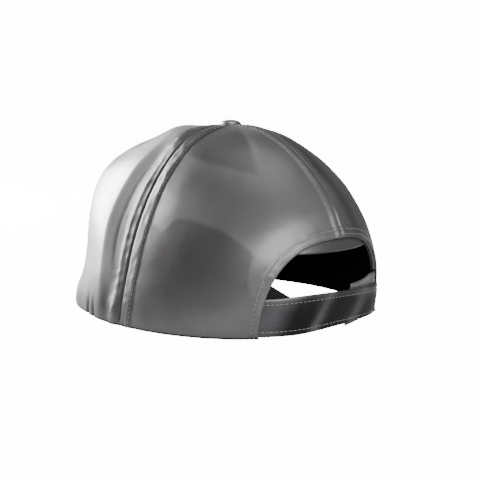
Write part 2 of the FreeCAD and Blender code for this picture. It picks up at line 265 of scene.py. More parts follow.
@dataclass(frozen=True)
class Arch:
    """Outline of the rear opening, in the plane across and up."""

    half_width: float = 0.0508
    height: float = 0.0544
    exponent: float = 2.5
    spread: float = 1.28

    def outline(self, angle: Grid, margin: float = 0.0) -> tuple[Grid, Grid]:
        """Across and height of the outline.

        Args:
            angle: 0 at the left edge to pi at the right.
            margin: Metres outside the outline.

        Returns:
            Metres across and metres up.
        """
        cosine = np.cos(angle)
        across = self.half_width + margin / self.spread
        across = across * np.abs(cosine) ** (2.0 / self.exponent) * np.sign(cosine)
        return across, (self.height + margin) * np.sin(angle) ** (2.0 / self.exponent)

    def distance(self, points: Grid) -> Grid:
        """Distance of points from the outline, measured over the turning surface.

        Args:
            points: Points of the crown, in metres.

        Returns:
            Metres, one per point.
        """
        across, up = self.outline(np.linspace(0.0, math.pi, 181))
        flat = points.reshape(-1, 3)
        gaps = np.hypot((flat[:, :1] - across[None, :]) * self.spread, flat[:, 2:] - up[None, :])
        return gaps.min(axis=1).reshape(points.shape[:-1])


CROWN = CrownForm()
ARCH = Arch()


@dataclass(frozen=True)
class Layers:
    """Depth of each layer's outer face under the crown's surface, and its thickness.

    The rim_low is the height of the layers' lower edges, and full the depth of all of them.
    """

    panel: tuple[float, float] = (0.0, 0.0008)
    strap: tuple[float, float] = (0.00095, 0.0011)
    loop: tuple[float, float] = (0.0021, 0.0005)
    lining: tuple[float, float] = (0.0022, 0.0004)
    tape: tuple[float, float] = (0.00275, 0.0004)
    hook: tuple[float, float] = (0.0029, 0.0005)
    sweatband: tuple[float, float] = (0.0033, 0.001)
    tab: tuple[float, float] = (0.00345, 0.0011)
    rim_low: float = 0.00115
    full: float = 0.0043


LAYERS = Layers()


class Cloth:
    """Closed cloth pieces made from two matching grids of points."""

    @staticmethod
    def shell(name: str, outer: Grid, inner: Grid, chart: Grid, tone: Grid | None = None,
              roll: float = 0.35) -> bpy.types.Object:
        """Sheet of cloth between two grids, with a rounded edge all round.

        Args:
            name: Name of the object.
            outer: Points of the outer face, shape (rows, columns, 3).
            inner: Points of the inner face, same shape.
            chart: Surface coordinates in metres for the weave, shape (rows, columns, 2).
            tone: Brightness of the cloth per point, about 1.
            roll: How far the edge bulges, as a share of the thickness.

        Returns:
            The new object.
        """
        rows, columns = outer.shape[:2]
        count = rows * columns
        index = np.arange(count).reshape(rows, columns)
        loop = list(index[0, :]) + list(index[1:, -1]) + list(index[-1, -2::-1]) + list(index[-2:0:-1, 0])
        flat_outer, flat_inner = outer.reshape(-1, 3), inner.reshape(-1, 3)
        inside = np.zeros((rows, columns), int)
        inside[:] = index
        inside[0], inside[-1] = index[1], index[-2]
        inside[1:-1, 0], inside[1:-1, -1] = index[1:-1, 1], index[1:-1, -2]
        middle = (flat_outer + flat_inner) / 2.0
        edge = np.array(loop)
        away = middle[edge] - middle[inside.reshape(-1)[edge]]
        away /= np.maximum(np.linalg.norm(away, axis=1, keepdims=True), 1e-9)
        thickness = np.linalg.norm(flat_outer[edge] - flat_inner[edge], axis=1, keepdims=True)
        bulge = middle[edge] + away * thickness * roll
        points = np.concatenate([flat_outer, flat_inner, bulge])
        faces = []
        for first in (0, count):
            grid = index + first
            faces += np.stack([grid[:-1, :-1], grid[:-1, 1:], grid[1:, 1:], grid[1:, :-1]],
                              axis=-1).reshape(-1, 4).tolist()
        total = len(loop)
        for place in range(total):
            after = (place + 1) % total
            low, high = 2 * count + place, 2 * count + after
            faces.append([loop[place], loop[after], high, low])
            faces.append([low, high, loop[after] + count, loop[place] + count])
        mesh = bpy.data.meshes.new(name)
        mesh.from_pydata(points.tolist(), [], faces)
        bm = bmesh.new()
        bm.from_mesh(mesh)
        bmesh.ops.recalc_face_normals(bm, faces=bm.faces)
        bm.to_mesh(mesh)
        bm.free()
        flat_chart = chart.reshape(-1, 2)
        charts = np.concatenate([flat_chart, flat_chart, flat_chart[edge]])
        layer = mesh.uv_layers.new(name="weave")
        corners = np.zeros(len(mesh.loops), int)
        mesh.loops.foreach_get("vertex_index", corners)
        layer.data.foreach_set("uv", charts[corners].astype(np.float32).ravel())
        shade = np.ones(count) if tone is None else tone.reshape(-1)
        attribute = mesh.attributes.new("tone", "FLOAT", "POINT")
        attribute.data.foreach_set("value", np.concatenate([shade, shade, shade[edge]]).astype(np.float32))
        mesh.shade_smooth()
        piece = bpy.data.objects.new(name, mesh)
        bpy.context.scene.collection.objects.link(piece)
        return piece

    @staticmethod
    def follow(name: str, turn: Grid, lift: Grid, depth: tuple[float, float],
               relief: Relief | None = None, tone: Grid | None = None) -> bpy.types.Object:
        """Sheet that follows the crown.

        Args:
            name: Name of the object.
            turn: Turns of the grid, shape (rows, columns).
            lift: Lifts of the grid.
            depth: Depth of the outer face and the thickness.
            relief: Outward shift of both faces, from turn, lift and points.
            tone: Brightness per point.

        Returns:
            The new object.
        """
        points = CROWN.surface(turn, lift)
        shift = np.zeros(turn.shape) if relief is None else relief(turn, lift, points)
        outer = CROWN.place(turn, lift, shift - depth[0])
        inner = CROWN.place(turn, lift, shift - depth[0] - depth[1])
        chart = np.stack([np.radians(turn) * CROWN.half_width, lift * 0.15], axis=-1)
        return Cloth.shell(name, outer, inner, chart, tone)


def finish_piece(piece: bpy.types.Object, finish: bpy.types.Material,
                 body: str | None = None) -> None:
    """Gives a piece its material, and the body it rides on.

    Args:
        piece: The piece to dress.
        finish: Its material.
        body: The body it rides on, or None to leave the piece unattached.
    """
    piece.data.materials.clear()
    piece.data.materials.append(finish)
    if body is not None:
        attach(piece, body)


def rectangle(first: float, last: float, low: Grid | float, high: Grid | float,
              columns: int, rows: int) -> tuple[Grid, Grid]:
    """Grid between two turns, closer together near both.

    Args:
        first: Turn of the first column.
        last: Turn of the last column.
        low: Lift of the lowest row, per column or one for all.
        high: Lift of the highest row, likewise.
        columns: Number of columns.
        rows: Number of rows.

    Returns:
        Turns and lifts, both of shape (rows, columns).
    """
    turn = (first + (last - first) * crowded(columns))[None, :].repeat(rows, axis=0)
    share = np.linspace(0.0, 1.0, rows)[:, None]
    low = np.broadcast_to(low, (columns,))[None, :]
    high = np.broadcast_to(high, (columns,))[None, :]
    return turn, low + (high - low) * share


def crowded(count: int) -> Grid:
    """Shares from 0 to 1 that lie closer together near both ends."""
    even = np.linspace(0.0, 1.0, count)
    return 0.4 * even + 0.6 * (0.5 - 0.5 * np.cos(even * math.pi))


def rear_grid(quarter: Quarter, margin: float, top_radius: float, columns: int, rows: int,
              seam_gap: float = 0.04) -> tuple[Grid, Grid]:
    """Grid of a rear quarter whose lowest row runs along the rim and up the arch.

    Args:
        quarter: The rear quarter to cover.
        margin: Distance kept from the opening's outline.
        top_radius: Distance from the apex axis of the top row.
        columns: Number of columns.
        rows: Number of rows, closer together towards the lowest.
        seam_gap: Degrees left open at the seams.

    Returns:
        Turns and lifts, both of shape (rows, columns).
    """
    along_rim = int(columns * 0.46)
    angle = np.linspace(0.0, 1.0, columns - along_rim) ** 0.9 * (math.pi / 2.0)
    across, height = ARCH.outline(angle, margin)
    low_height = np.maximum(height, LAYERS.rim_low)
    arch_turn = np.minimum(CROWN.turn_at(across, low_height), 180.0 - seam_gap)
    rim_turn = (90.0 + seam_gap + (arch_turn[0] - 90.0 - seam_gap) * crowded(along_rim + 1))[:-1]
    low_turn = np.concatenate([rim_turn, arch_turn])
    low_lift = np.concatenate([np.full(along_rim, CROWN.lift_at(LAYERS.rim_low)),
                               CROWN.lift_at(low_height)])
    top_turn = np.linspace(90.0 + seam_gap, 180.0 - seam_gap, columns)
    top_turn = 90.0 + 90.0 * (0.35 * (top_turn - 90.0) / 90.0 + 0.65 * (low_turn - 90.0) / 90.0)
    top_turn[0], top_turn[-1] = 90.0 + seam_gap, 180.0 - seam_gap
    top_lift = CROWN.lift_at_radius(top_turn, top_radius)
    share = (np.linspace(0.0, 1.0, rows) ** 1.25)[:, None]
    turn = low_turn[None, :] + (top_turn - low_turn)[None, :] * smooth(share)
    lift = low_lift[None, :] + (top_lift - low_lift)[None, :] * share
    if quarter is Quarter.REAR_RIGHT:
        turn = 360.0 - turn
    return turn, lift


def settled(mesh: bpy.types.Mesh) -> tuple[list[tuple], list[list[int]]]:
    """Points and faces of a mesh, in an order that its shape alone decides.

    Args:
        mesh: A mesh shaped in edit mode, whose own order can differ from run to run.

    Returns:
        The points, and each face's point numbers from the lowest on.
    """
    points = sorted(tuple(vertex.co) for vertex in mesh.vertices)
    rank = {point: number for number, point in enumerate(points)}
    faces = []
    for polygon in mesh.polygons:
        face = [rank[tuple(mesh.vertices[corner].co)] for corner in polygon.vertices]
        first = face.index(min(face))
        faces.append(face[first:] + face[:first])
    return points, sorted(faces)


class Stitching:
    """Rows of sewing thread, each stitch a short rounded bar half sunk in the cloth.

    The bar is straight over its middle share, each end is an end share of its length and narrows
    to the tip's share of its width. The look-ahead is how far along a path its direction is taken.
    """

    middle_share = 0.72
    end_share = 0.14
    tip = 0.45
    look_ahead = 4e-4
    unevenness = 0.12

    def __init__(self, length: float = 0.0019, pitch: float = 0.0027, radius: float = 0.00021) -> None:
        """Keeps the stitch's sizes and models one stitch.

        Args:
            length: Visible length of a stitch.
            pitch: Distance between stitches.
            radius: Half the thread's width.
        """
        self.pitch = pitch
        bpy.ops.object.select_all(action="DESELECT")
        bpy.ops.mesh.primitive_cylinder_add(vertices=6, radius=radius,
                                            depth=length * self.middle_share)
        bar = bpy.context.object
        bpy.ops.object.mode_set(mode="EDIT")
        bpy.ops.mesh.select_mode(type="FACE")
        for end in (1.0, -1.0):
            bpy.ops.mesh.select_all(action="DESELECT")
            bm = bmesh.from_edit_mesh(bar.data)
            for face in bm.faces:
                face.select = face.normal.z * end > 0.9
            bmesh.update_edit_mesh(bar.data)
            bpy.ops.mesh.extrude_region_move(
                TRANSFORM_OT_translate={"value": (0.0, 0.0, end * length * self.end_share)})
            bpy.ops.transform.resize(value=(self.tip, self.tip, 1.0))
        bpy.ops.object.mode_set(mode="OBJECT")
        points, self.faces = settled(bar.data)
        self.points = np.array(points)
        bpy.data.objects.remove(bar)

    def row(self, name: str, path: Grid, normals: Grid, sink: float = 0.25) -> bpy.types.Object:
        """Row of stitches along a path on the cloth.

        Args:
            name: Name of the object.
            path: Points on the cloth, shape (count, 3).
            normals: Outward normals there.
            sink: How deep the thread lies, in thread radii.

        Returns:
            The new object, all its stitches in one mesh.
        """
        lengths = np.concatenate([[0.0], np.cumsum(np.linalg.norm(np.diff(path, axis=0), axis=1))])
        places = np.arange(self.pitch / 2.0, lengths[-1], self.pitch)
        if len(places) > 2:
            places = places + np.array([noise.noise(Vector((k * 1.7, 0.3, 9.1))) for k in
                                        range(len(places))]) * self.pitch * self.unevenness
        places = np.clip(places, 0.0, lengths[-1])
        centre = np.stack([np.interp(places, lengths, path[:, axis]) for axis in range(3)], axis=1)
        ahead = np.stack([np.interp(np.minimum(places + self.look_ahead, lengths[-1]), lengths,
                                    path[:, axis]) for axis in range(3)], axis=1)
        behind = np.stack([np.interp(np.maximum(places - self.look_ahead, 0.0), lengths,
                                     path[:, axis]) for axis in range(3)], axis=1)
        away = np.stack([np.interp(places, lengths, normals[:, axis]) for axis in range(3)], axis=1)
        radius = np.abs(self.points[:, 0]).max()
        points, faces = [], []
        for middle, front, rear, normal in zip(centre, ahead, behind, away):
            along = Vector(front - rear).normalized()
            up = Vector(normal).normalized()
            side = up.cross(along).normalized()
            up = along.cross(side)
            turned = Matrix((side, up, along)).transposed()
            start = len(points)
            lifted = Vector(middle) + up * radius * sink
            points += [(lifted + turned @ Vector(point))[:] for point in self.points]
            faces += [[corner + start for corner in face] for face in self.faces]
        mesh = bpy.data.meshes.new(name)
        mesh.from_pydata(points, [], faces)
        mesh.shade_smooth()
        piece = bpy.data.objects.new(name, mesh)
        bpy.context.scene.collection.objects.link(piece)
        return piece


class NodeShop:
    """Short cuts for wiring shader nodes."""

    def __init__(self, tree: bpy.types.NodeTree) -> None:
        """Keeps the tree that nodes are added to."""
        self.tree = tree

    def add(self, kind: str, **settings: object) -> bpy.types.Node:
        """Adds a node.

        Args:
            kind: The node's type name.
            settings: Properties to set on it.

        Returns:
            The new node.
        """
        node = self.tree.nodes.new(kind)
        for name, value in settings.items():
            setattr(node, name, value)
        return node

    def link(self, source: bpy.types.NodeSocket, target: bpy.types.NodeSocket) -> None:
        """Joins two sockets."""
        self.tree.links.new(source, target)

    def math(self, operation: str, first: object, second: object = 0.0,
             clamp: bool = False) -> bpy.types.NodeSocket:
        """Adds a math node on sockets or numbers.

        Args:
            operation: Name of the operation.
            first: Socket or number.
            second: Socket or number.
            clamp: Whether the result is kept from 0 to 1.

        Returns:
            The result.
        """
        node = self.add("ShaderNodeMath", operation=operation, use_clamp=clamp)
        for place, value in enumerate((first, second)):
            if isinstance(value, bpy.types.NodeSocket):
                self.link(value, node.inputs[place])
            else:
                node.inputs[place].default_value = value
        return node.outputs[0]

    def ramp(self, value: bpy.types.NodeSocket, low: float, high: float, first: float,
             last: float) -> bpy.types.NodeSocket:
        """Maps a value smoothly from one range to another.

        Args:
            value: The value to map.
            low: Value that gives first.
            high: Value that gives last.
            first: Result at low.
            last: Result at high.

        Returns:
            The result.
        """
        node = self.add("ShaderNodeMapRange", interpolation_type="SMOOTHSTEP")
        self.link(value, node.inputs["Value"])
        for name, number in (("From Min", low), ("From Max", high), ("To Min", first), ("To Max", last)):
            node.inputs[name].default_value = number
        return node.outputs["Result"]

    def tint(self, share: bpy.types.NodeSocket, first: tuple, last: tuple) -> bpy.types.NodeSocket:
        """Mixes two colours by a share.

        Args:
            share: 0 for the first colour to 1 for the last.
            first: First colour.
            last: Last colour.

        Returns:
            The mixed colour.
        """
        node = self.add("ShaderNodeMix", data_type="RGBA")
        self.link(share, node.inputs["Factor"])
        node.inputs[6].default_value = (*first, 1.0)
        node.inputs[7].default_value = (*last, 1.0)
        return node.outputs[2]


def new_material(name: str) -> tuple[bpy.types.Material, NodeShop, bpy.types.Node]:
    """Starts a material.

    Args:
        name: Its name.

    Returns:
        The material, the shop of its nodes, and its shader.
    """
    material = bpy.data.materials.new(name)
    material.use_nodes = True
    return material, NodeShop(material.node_tree), material.node_tree.nodes["Principled BSDF"]


def weave_group() -> bpy.types.NodeTree:
    """Shader group of a woven cloth, used by every fabric.

    Returns:
        A group with the inputs Threads (per metre) and Float (how far warp threads float over
        the weft, 1 for plain weave), and the outputs Height and Fleck.
    """
    group = bpy.data.node_groups.new("woven_threads", "ShaderNodeTree")
    for name, value in (("Threads", 2600.0), ("Float", 1.0)):
        socket = group.interface.new_socket(name=name, in_out="INPUT", socket_type="NodeSocketFloat")
        socket.default_value = value
    for name in ("Height", "Fleck"):
        group.interface.new_socket(name=name, in_out="OUTPUT", socket_type="NodeSocketFloat")
    shop = NodeShop(group)
    inputs = shop.add("NodeGroupInput")
    outputs = shop.add("NodeGroupOutput")
    chart = shop.add("ShaderNodeUVMap", uv_map="weave")
    split = shop.add("ShaderNodeSeparateXYZ")
    shop.link(chart.outputs["UV"], split.inputs[0])
    warp = shop.math("MULTIPLY", split.outputs[0], inputs.outputs["Threads"])
    weft = shop.math("DIVIDE", shop.math("MULTIPLY", split.outputs[1], inputs.outputs["Threads"]),
                     inputs.outputs["Float"])
    ridge = shop.math("ABSOLUTE", shop.math("SINE", shop.math("MULTIPLY", warp, math.pi)))
    step = shop.math("ABSOLUTE", shop.math("SINE", shop.math("MULTIPLY", shop.math(
        "ADD", weft, shop.math("MULTIPLY", shop.math("FLOOR", warp), 0.4)), math.pi)))
    shop.link(shop.math("ADD", shop.math("MULTIPLY", ridge, 0.6), shop.math("MULTIPLY", step, 0.4)),
              outputs.inputs["Height"])
    slub = shop.add("ShaderNodeTexNoise", noise_dimensions="4D")
    stretch = shop.add("ShaderNodeCombineXYZ")
    shop.link(shop.math("MULTIPLY", split.outputs[0], 900.0), stretch.inputs[0])
    shop.link(shop.math("MULTIPLY", split.outputs[1], 90.0), stretch.inputs[1])
    shop.link(stretch.outputs[0], slub.inputs["Vector"])
    slub.inputs["W"].default_value = 0.0
    slub.inputs["Scale"].default_value = 1.0
    slub.inputs["Detail"].default_value = 3.0
    shop.link(slub.outputs[0], outputs.inputs["Fleck"])
    return group


@dataclass(frozen=True)
class ClothFinish:
    """A woven cloth: its colours, gloss and weave."""

    name: str
    dark: tuple[float, float, float]
    light: tuple[float, float, float]
    roughness: float = 0.8
    metallic: float = 0.0
    sheen: float = 0.2
    sheen_roughness: float = 0.4
    specular: float = 0.4
    anisotropic: float = 0.0
    threads: float = 1600.0
    floats: float = 1.0
    weave_depth: float = 0.25
    mottle: float = 0.1
    mottle_scale: float = 30.0
    fleck: float = 0.05

    def material(self, weave: bpy.types.NodeTree) -> bpy.types.Material:
        """Builds the material.

        Args:
            weave: The shared weave group.

        Returns:
            The new material.
        """
        result, shop, shader = new_material(self.name)
        threads = shop.add("ShaderNodeGroup", node_tree=weave)
        threads.inputs["Threads"].default_value = self.threads
        threads.inputs["Float"].default_value = self.floats
        place = shop.add("ShaderNodeTexCoord")
        drift = shop.add("ShaderNodeTexNoise")
        shop.link(place.outputs["Object"], drift.inputs["Vector"])
        drift.inputs["Scale"].default_value = self.mottle_scale
        drift.inputs["Detail"].default_value = 4.0
        # Each piece's tone attribute sets its brightness; on the satin panels and the strap it holds painted
        # light and shade.
        tone = shop.add("ShaderNodeAttribute", attribute_name="tone")
        wander = shop.math("MULTIPLY", shop.math("SUBTRACT", drift.outputs[0], 0.5), self.mottle)
        fleck = shop.math("MULTIPLY", shop.math("SUBTRACT", threads.outputs["Fleck"], 0.5), self.fleck)
        share = shop.math("ADD", shop.math("ADD", tone.outputs["Fac"], wander), fleck, clamp=True)
        shop.link(shop.tint(share, self.dark, self.light), shader.inputs["Base Color"])
        gloss = shop.math("ADD", shop.math("MULTIPLY", drift.outputs[0], 0.12), self.roughness - 0.06)
        shop.link(gloss, shader.inputs["Roughness"])
        relief = shop.add("ShaderNodeBump")
        relief.inputs["Strength"].default_value = self.weave_depth
        relief.inputs["Distance"].default_value = 0.00008
        shop.link(threads.outputs["Height"], relief.inputs["Height"])
        shop.link(relief.outputs["Normal"], shader.inputs["Normal"])
        for socket, value in (("Metallic", self.metallic), ("Sheen Weight", self.sheen),
                              ("Sheen Roughness", self.sheen_roughness),
                              ("Specular IOR Level", self.specular), ("Anisotropic", self.anisotropic)):
            shader.inputs[socket].default_value = value
        return result


@dataclass(frozen=True)
class MetalFinish:
    """Stamped metal of the button's shell and washer."""

    name: str = "stamped_metal"
    colour: tuple[float, float, float] = (0.62, 0.63, 0.65)
    roughness: float = 0.34

    def material(self) -> bpy.types.Material:
        """Builds the material, lightly scratched and dulled in patches.

        Returns:
            The new material.
        """
        result, shop, shader = new_material(self.name)
        place = shop.add("ShaderNodeTexCoord")
        patches = shop.add("ShaderNodeTexNoise")
        shop.link(place.outputs["Object"], patches.inputs["Vector"])
        patches.inputs["Scale"].default_value = 900.0
        patches.inputs["Detail"].default_value = 5.0
        dull = tuple(value * 0.7 for value in self.colour)
        shop.link(shop.tint(patches.outputs[0], dull, self.colour), shader.inputs["Base Color"])
        shop.link(shop.ramp(patches.outputs[0], 0.3, 0.7, self.roughness - 0.08, self.roughness + 0.12),
                  shader.inputs["Roughness"])
        shader.inputs["Metallic"].default_value = 1.0
        return result


@dataclass(frozen=True)
class ThreadFinish:
    """Twisted sewing thread."""

    name: str
    dark: tuple[float, float, float]
    light: tuple[float, float, float]

    def material(self) -> bpy.types.Material:
        """Builds the material, its twist drawn by fine bands.

        Returns:
            The new material.
        """
        result, shop, shader = new_material(self.name)
        place = shop.add("ShaderNodeTexCoord")
        twist = shop.add("ShaderNodeTexWave", wave_type="BANDS", bands_direction="DIAGONAL")
        shop.link(place.outputs["Object"], twist.inputs["Vector"])
        twist.inputs["Scale"].default_value = 900.0
        twist.inputs["Distortion"].default_value = 1.5
        shop.link(shop.tint(twist.outputs["Fac"], self.dark, self.light), shader.inputs["Base Color"])
        shop.link(shop.ramp(twist.outputs["Fac"], 0.0, 1.0, 0.62, 0.42), shader.inputs["Roughness"])
        shader.inputs["Sheen Weight"].default_value = 0.3
        return result


class Wardrobe:
    """Every finish on the cap, built once."""

    def __init__(self) -> None:
        """Builds the materials."""
        weave = weave_group()
        satin = dict(roughness=0.34, metallic=0.40, sheen=0.05, specular=0.6, anisotropic=0.45,
                     threads=3200.0, floats=4.0, weave_depth=0.22, mottle=0.10, mottle_scale=26.0,
                     fleck=0.035)
        self.satin = ClothFinish("silver_satin", (0.033, 0.0305, 0.0280), (0.46, 0.453, 0.475),
                                 **satin).material(weave)
        self.strap_satin = ClothFinish("strap_satin", (0.011, 0.011, 0.013), (0.34, 0.34, 0.36),
                                       **satin).material(weave)
        self.lining = ClothFinish("black_lining", (0.010, 0.010, 0.011), (0.032, 0.032, 0.034),
                                  roughness=0.75, sheen=0.05, specular=0.2, threads=2000.0).material(weave)
        self.band = ClothFinish("black_twill", (0.008, 0.008, 0.009), (0.026, 0.026, 0.028),
                                roughness=0.85, sheen=0.05, specular=0.15, threads=1400.0,
                                floats=2.0, weave_depth=0.5).material(weave)
        self.binding = ClothFinish("black_binding", (0.010, 0.010, 0.010), (0.030, 0.030, 0.031),
                                   roughness=0.8, sheen=0.05, specular=0.2).material(weave)
        self.tape = ClothFinish("black_tape", (0.016, 0.016, 0.017), (0.048, 0.048, 0.050),
                                roughness=0.7, sheen=0.08, specular=0.25, floats=2.0).material(weave)
        self.buckram = ClothFinish("buckram", (0.55, 0.54, 0.5), (0.75, 0.74, 0.7), roughness=0.9,
                                   threads=700.0, weave_depth=0.8).material(weave)
        self.loops = ClothFinish("loop_pile", (0.01, 0.01, 0.012), (0.05, 0.05, 0.055), roughness=0.95,
                                 sheen=0.6, threads=900.0, weave_depth=0.9, mottle=0.6,
                                 mottle_scale=900.0).material(weave)
        self.hooks = ClothFinish("hook_tape", (0.01, 0.01, 0.012), (0.05, 0.05, 0.055), roughness=0.5,
                                 sheen=0.1, threads=800.0, weave_depth=0.9, mottle=0.3,
                                 mottle_scale=500.0).material(weave)
        self.label = ClothFinish("label_weave", (0.62, 0.62, 0.6), (0.82, 0.82, 0.8), roughness=0.6,
                                 sheen=0.2, threads=2500.0, floats=3.0).material(weave)
        self.light_thread = ThreadFinish("light_thread", (0.24, 0.24, 0.25), (0.44, 0.44, 0.45)).material()
        self.crown_thread = ThreadFinish("crown_thread", (0.10, 0.10, 0.10), (0.24, 0.24, 0.24)).material()
        self.black_thread = ThreadFinish("black_thread", (0.03, 0.03, 0.03),
                                         (0.09, 0.09, 0.095)).material()
        self.metal = MetalFinish().material()


@dataclass(frozen=True)
class SeamForm:
    """Raised allowance, puckers and grooves of a sewn seam, in metres."""

    button_radius: float = 0.006
    button_fade: float = 0.016
    raised: float = 0.00085
    raised_inset: float = 0.0004
    raised_edge: float = 0.0020
    pucker: float = 0.00030
    pucker_length: float = 0.0042
    groove: float = 0.00090
    groove_width: float = 0.0008
    stitch_groove: float = 0.00025
    stitch_width: float = 0.0006
    rim_clear: float = 0.001
    rim_fade: float = 0.005

    def shown(self, turn: Grid, lift: Grid) -> Grid:
        """Share of the seam's relief, which fades out under the button."""
        return smooth((CROWN.radius(turn, lift) - self.button_radius) / self.button_fade)


@dataclass(frozen=True)
class HemForm:
    """Turned hem along the arch, in metres."""

    raised: float = 0.00035
    raised_inset: float = 0.0002
    raised_edge: float = 0.0016
    pucker: float = 0.00030
    pucker_length: float = 0.0045
    pucker_width: float = 0.0028
    edge_groove: float = 0.0004
    edge_fade: float = 0.002


@dataclass(frozen=True)
class FoldForm:
    """Folds and slack of the satin, in metres, and turns in degrees."""

    button_radius: float = 0.008
    button_fade: float = 0.03
    slack: float = 0.0007
    slack_length: float = 0.045
    arch_fade: float = 0.016
    swell: float = 0.0034
    swell_radius: float = 0.028
    swell_width: float = 0.017
    swell_turn: float = 56.0
    swell_turns: float = 36.0
    rear_waves: float = 0.0003
    rear_wave_length: float = 0.016
    valley: float = 0.0080
    valley_bow: float = 0.0055
    valley_height: float = 0.056
    valley_spread: float = 0.036
    puff: float = 0.0034
    puff_rise: float = 0.0090
    puff_start: float = 0.022
    puff_fall: float = 0.05
    crest: float = 0.0007
    crest_width: float = 0.0022
    drape: float = 0.0009
    drape_length: float = 0.020
    flare: float = 0.0020
    flare_height: float = 0.004
    flare_spread: float = 0.012
    seam_join: float = 0.006


SEAM_FORM = SeamForm()
HEM_FORM = HemForm()
FOLD_FORM = FoldForm()


@dataclass
class CrownPanel:
    """One satin quarter of the crown, with its seam, hem and fold relief.

    A cut is the flat cloth's width, length and area.
    """

    quarter: Quarter
    columns: int = 230
    rows: int = 150
    apex_radius: float = 0.003
    allowance: float = 0.0066
    back_allowance: float = 0.0050
    hem: float = 0.0042
    front_cut: tuple[float, float, float] = (0.169, 0.191, 0.0197)
    rear_cut: tuple[float, float, float] = (0.150, 0.158, 0.0142)

    def allowance_at(self, seam: float) -> float:
        """Width of the raised allowance beside a seam."""
        return self.back_allowance if seam == Seam.BACK.value else self.allowance

    def seam_distance(self, turn: Grid, lift: Grid, seam: float) -> Grid:
        """Rough distance from a seam, as turned at the apex axis."""
        apart = np.abs((turn - seam + 180.0) % 360.0 - 180.0)
        return np.radians(apart) * CROWN.radius(turn, lift)

    def grid(self) -> tuple[Grid, Grid]:
        """Turns and lifts of the panel.

        Returns:
            Turns and lifts, both of shape (rows, columns).
        """
        if self.quarter.is_rear:
            return rear_grid(self.quarter, 0.0, self.apex_radius, self.columns, self.rows)
        first, last = self.quarter.value
        turns = first + 0.04 + (last - first - 0.08) * crowded(self.columns)
        return rectangle(turns[0], turns[-1], CROWN.lift_at(LAYERS.rim_low),
                         CROWN.lift_at_radius(turns, self.apex_radius), self.columns, self.rows)

    def seam_relief(self, turn: Grid, lift: Grid, points: Grid) -> Grid:
        """Raised allowances and puckers beside the two seams.

        Args:
            turn: Degrees from the front seam.
            lift: 0 at the rim to 1 at the apex.
            points: The crown's points there.

        Returns:
            Metres outwards, one per point.
        """
        form = SEAM_FORM
        fade = form.shown(turn, lift)
        total = np.zeros(turn.shape)
        for seam in self.quarter.value:
            allowance = self.allowance_at(seam)
            gap = self.seam_distance(turn, lift, seam)
            raised = 1.0 - smooth((gap - allowance + form.raised_inset) / form.raised_edge)
            pucker = ripple(points, form.pucker_length, seam / 31.0)
            pucker = pucker * bump(gap - 0.6 * allowance, allowance * 0.7)
            total += fade * (form.raised * raised + form.pucker * pucker)
        return total

    def groove(self, turn: Grid, lift: Grid, points: Grid) -> Grid:
        """Depth of the narrow grooves: the seams and the stitch rows beside them.

        Args:
            turn: Degrees from the front seam.
            lift: 0 at the rim to 1 at the apex.
            points: The crown's points there.

        Returns:
            Metres inwards, one per point.
        """
        form = SEAM_FORM
        fade = form.shown(turn, lift) * smooth((points[..., 2] - form.rim_clear) / form.rim_fade)
        total = np.zeros(turn.shape)
        for seam in self.quarter.value:
            gap = self.seam_distance(turn, lift, seam)
            stitched = bump(gap - self.allowance_at(seam), form.stitch_width)
            total += fade * (form.groove * bump(gap, form.groove_width) + form.stitch_groove * stitched)
        if self.quarter.is_rear:
            gap = ARCH.distance(points)
            total += form.stitch_groove * bump(gap - self.hem, form.stitch_width)
            total += HEM_FORM.edge_groove * bump(gap, HEM_FORM.edge_groove)
        return total

    def hem_relief(self, points: Grid) -> Grid:
        """Turned hem along the arch, padded and lightly puckered.

        Args:
            points: The crown's points there.

        Returns:
            Metres outwards, one per point.
        """
        if not self.quarter.is_rear:
            return np.zeros(points.shape[:-1])
        form = HEM_FORM
        gap = ARCH.distance(points)
        raised = 1.0 - smooth((gap - self.hem - form.raised_inset) / form.raised_edge)
        puckers = ripple(points, form.pucker_length, 4.2) * bump(gap - self.hem * 0.9, form.pucker_width)
        return form.raised * raised + form.pucker * puckers * smooth(gap / form.edge_fade)

    def fold_relief(self, turn: Grid, lift: Grid, points: Grid) -> Grid:
        """Folds and slack of the satin over the head's form.

        Args:
            turn: Degrees from the front seam.
            lift: 0 at the rim to 1 at the apex.
            points: The crown's points there.

        Returns:
            Metres outwards, one per point.
        """
        form = FOLD_FORM
        height = points[..., 2]
        radius = CROWN.radius(turn, lift)
        fade = smooth((radius - form.button_radius) / form.button_fade)
        slack = form.slack * (1.0 + ripple(points * self.upright(0.55), form.slack_length, 1.3))
        around = np.abs((turn + 180.0) % 360.0 - 180.0)
        slack = slack + (form.swell * bump(radius - form.swell_radius, form.swell_width)
                         * bump(around - form.swell_turn, form.swell_turns))
        if self.quarter.is_rear:
            inner = np.minimum(self.seam_distance(turn, lift, self.quarter.value[0]),
                               self.seam_distance(turn, lift, self.quarter.value[1]))
            slack = slack * smooth(ARCH.distance(points) / form.arch_fade)
            waves = smooth(inner / 0.01) * form.rear_waves * ripple(points, form.rear_wave_length, 7.7)
            return fade * (slack + waves)
        gap = self.seam_distance(turn, lift, self.side_seam.value)
        valley = form.valley + form.valley_bow * bump(height - form.valley_height, form.valley_spread)
        rise = smooth((height + 0.002) / 0.03) * (1.0 - 0.75 * smooth((height - 0.085) / 0.025))
        puff = form.puff * smooth((gap - valley) / form.puff_rise)
        puff = puff * (1.0 - 0.8 * smooth((gap - form.puff_start) / form.puff_fall))
        crest = form.crest * bump(gap - 0.42 * valley, form.crest_width)
        drape = form.drape * ripple(points * self.upright(0.20), form.drape_length, 3.9)
        flare = form.flare * bump(height - form.flare_height, form.flare_spread)
        folds = rise * (puff + crest) + drape + flare
        return fade * (slack + smooth(gap / form.seam_join) * folds) - self.nips(turn, height)

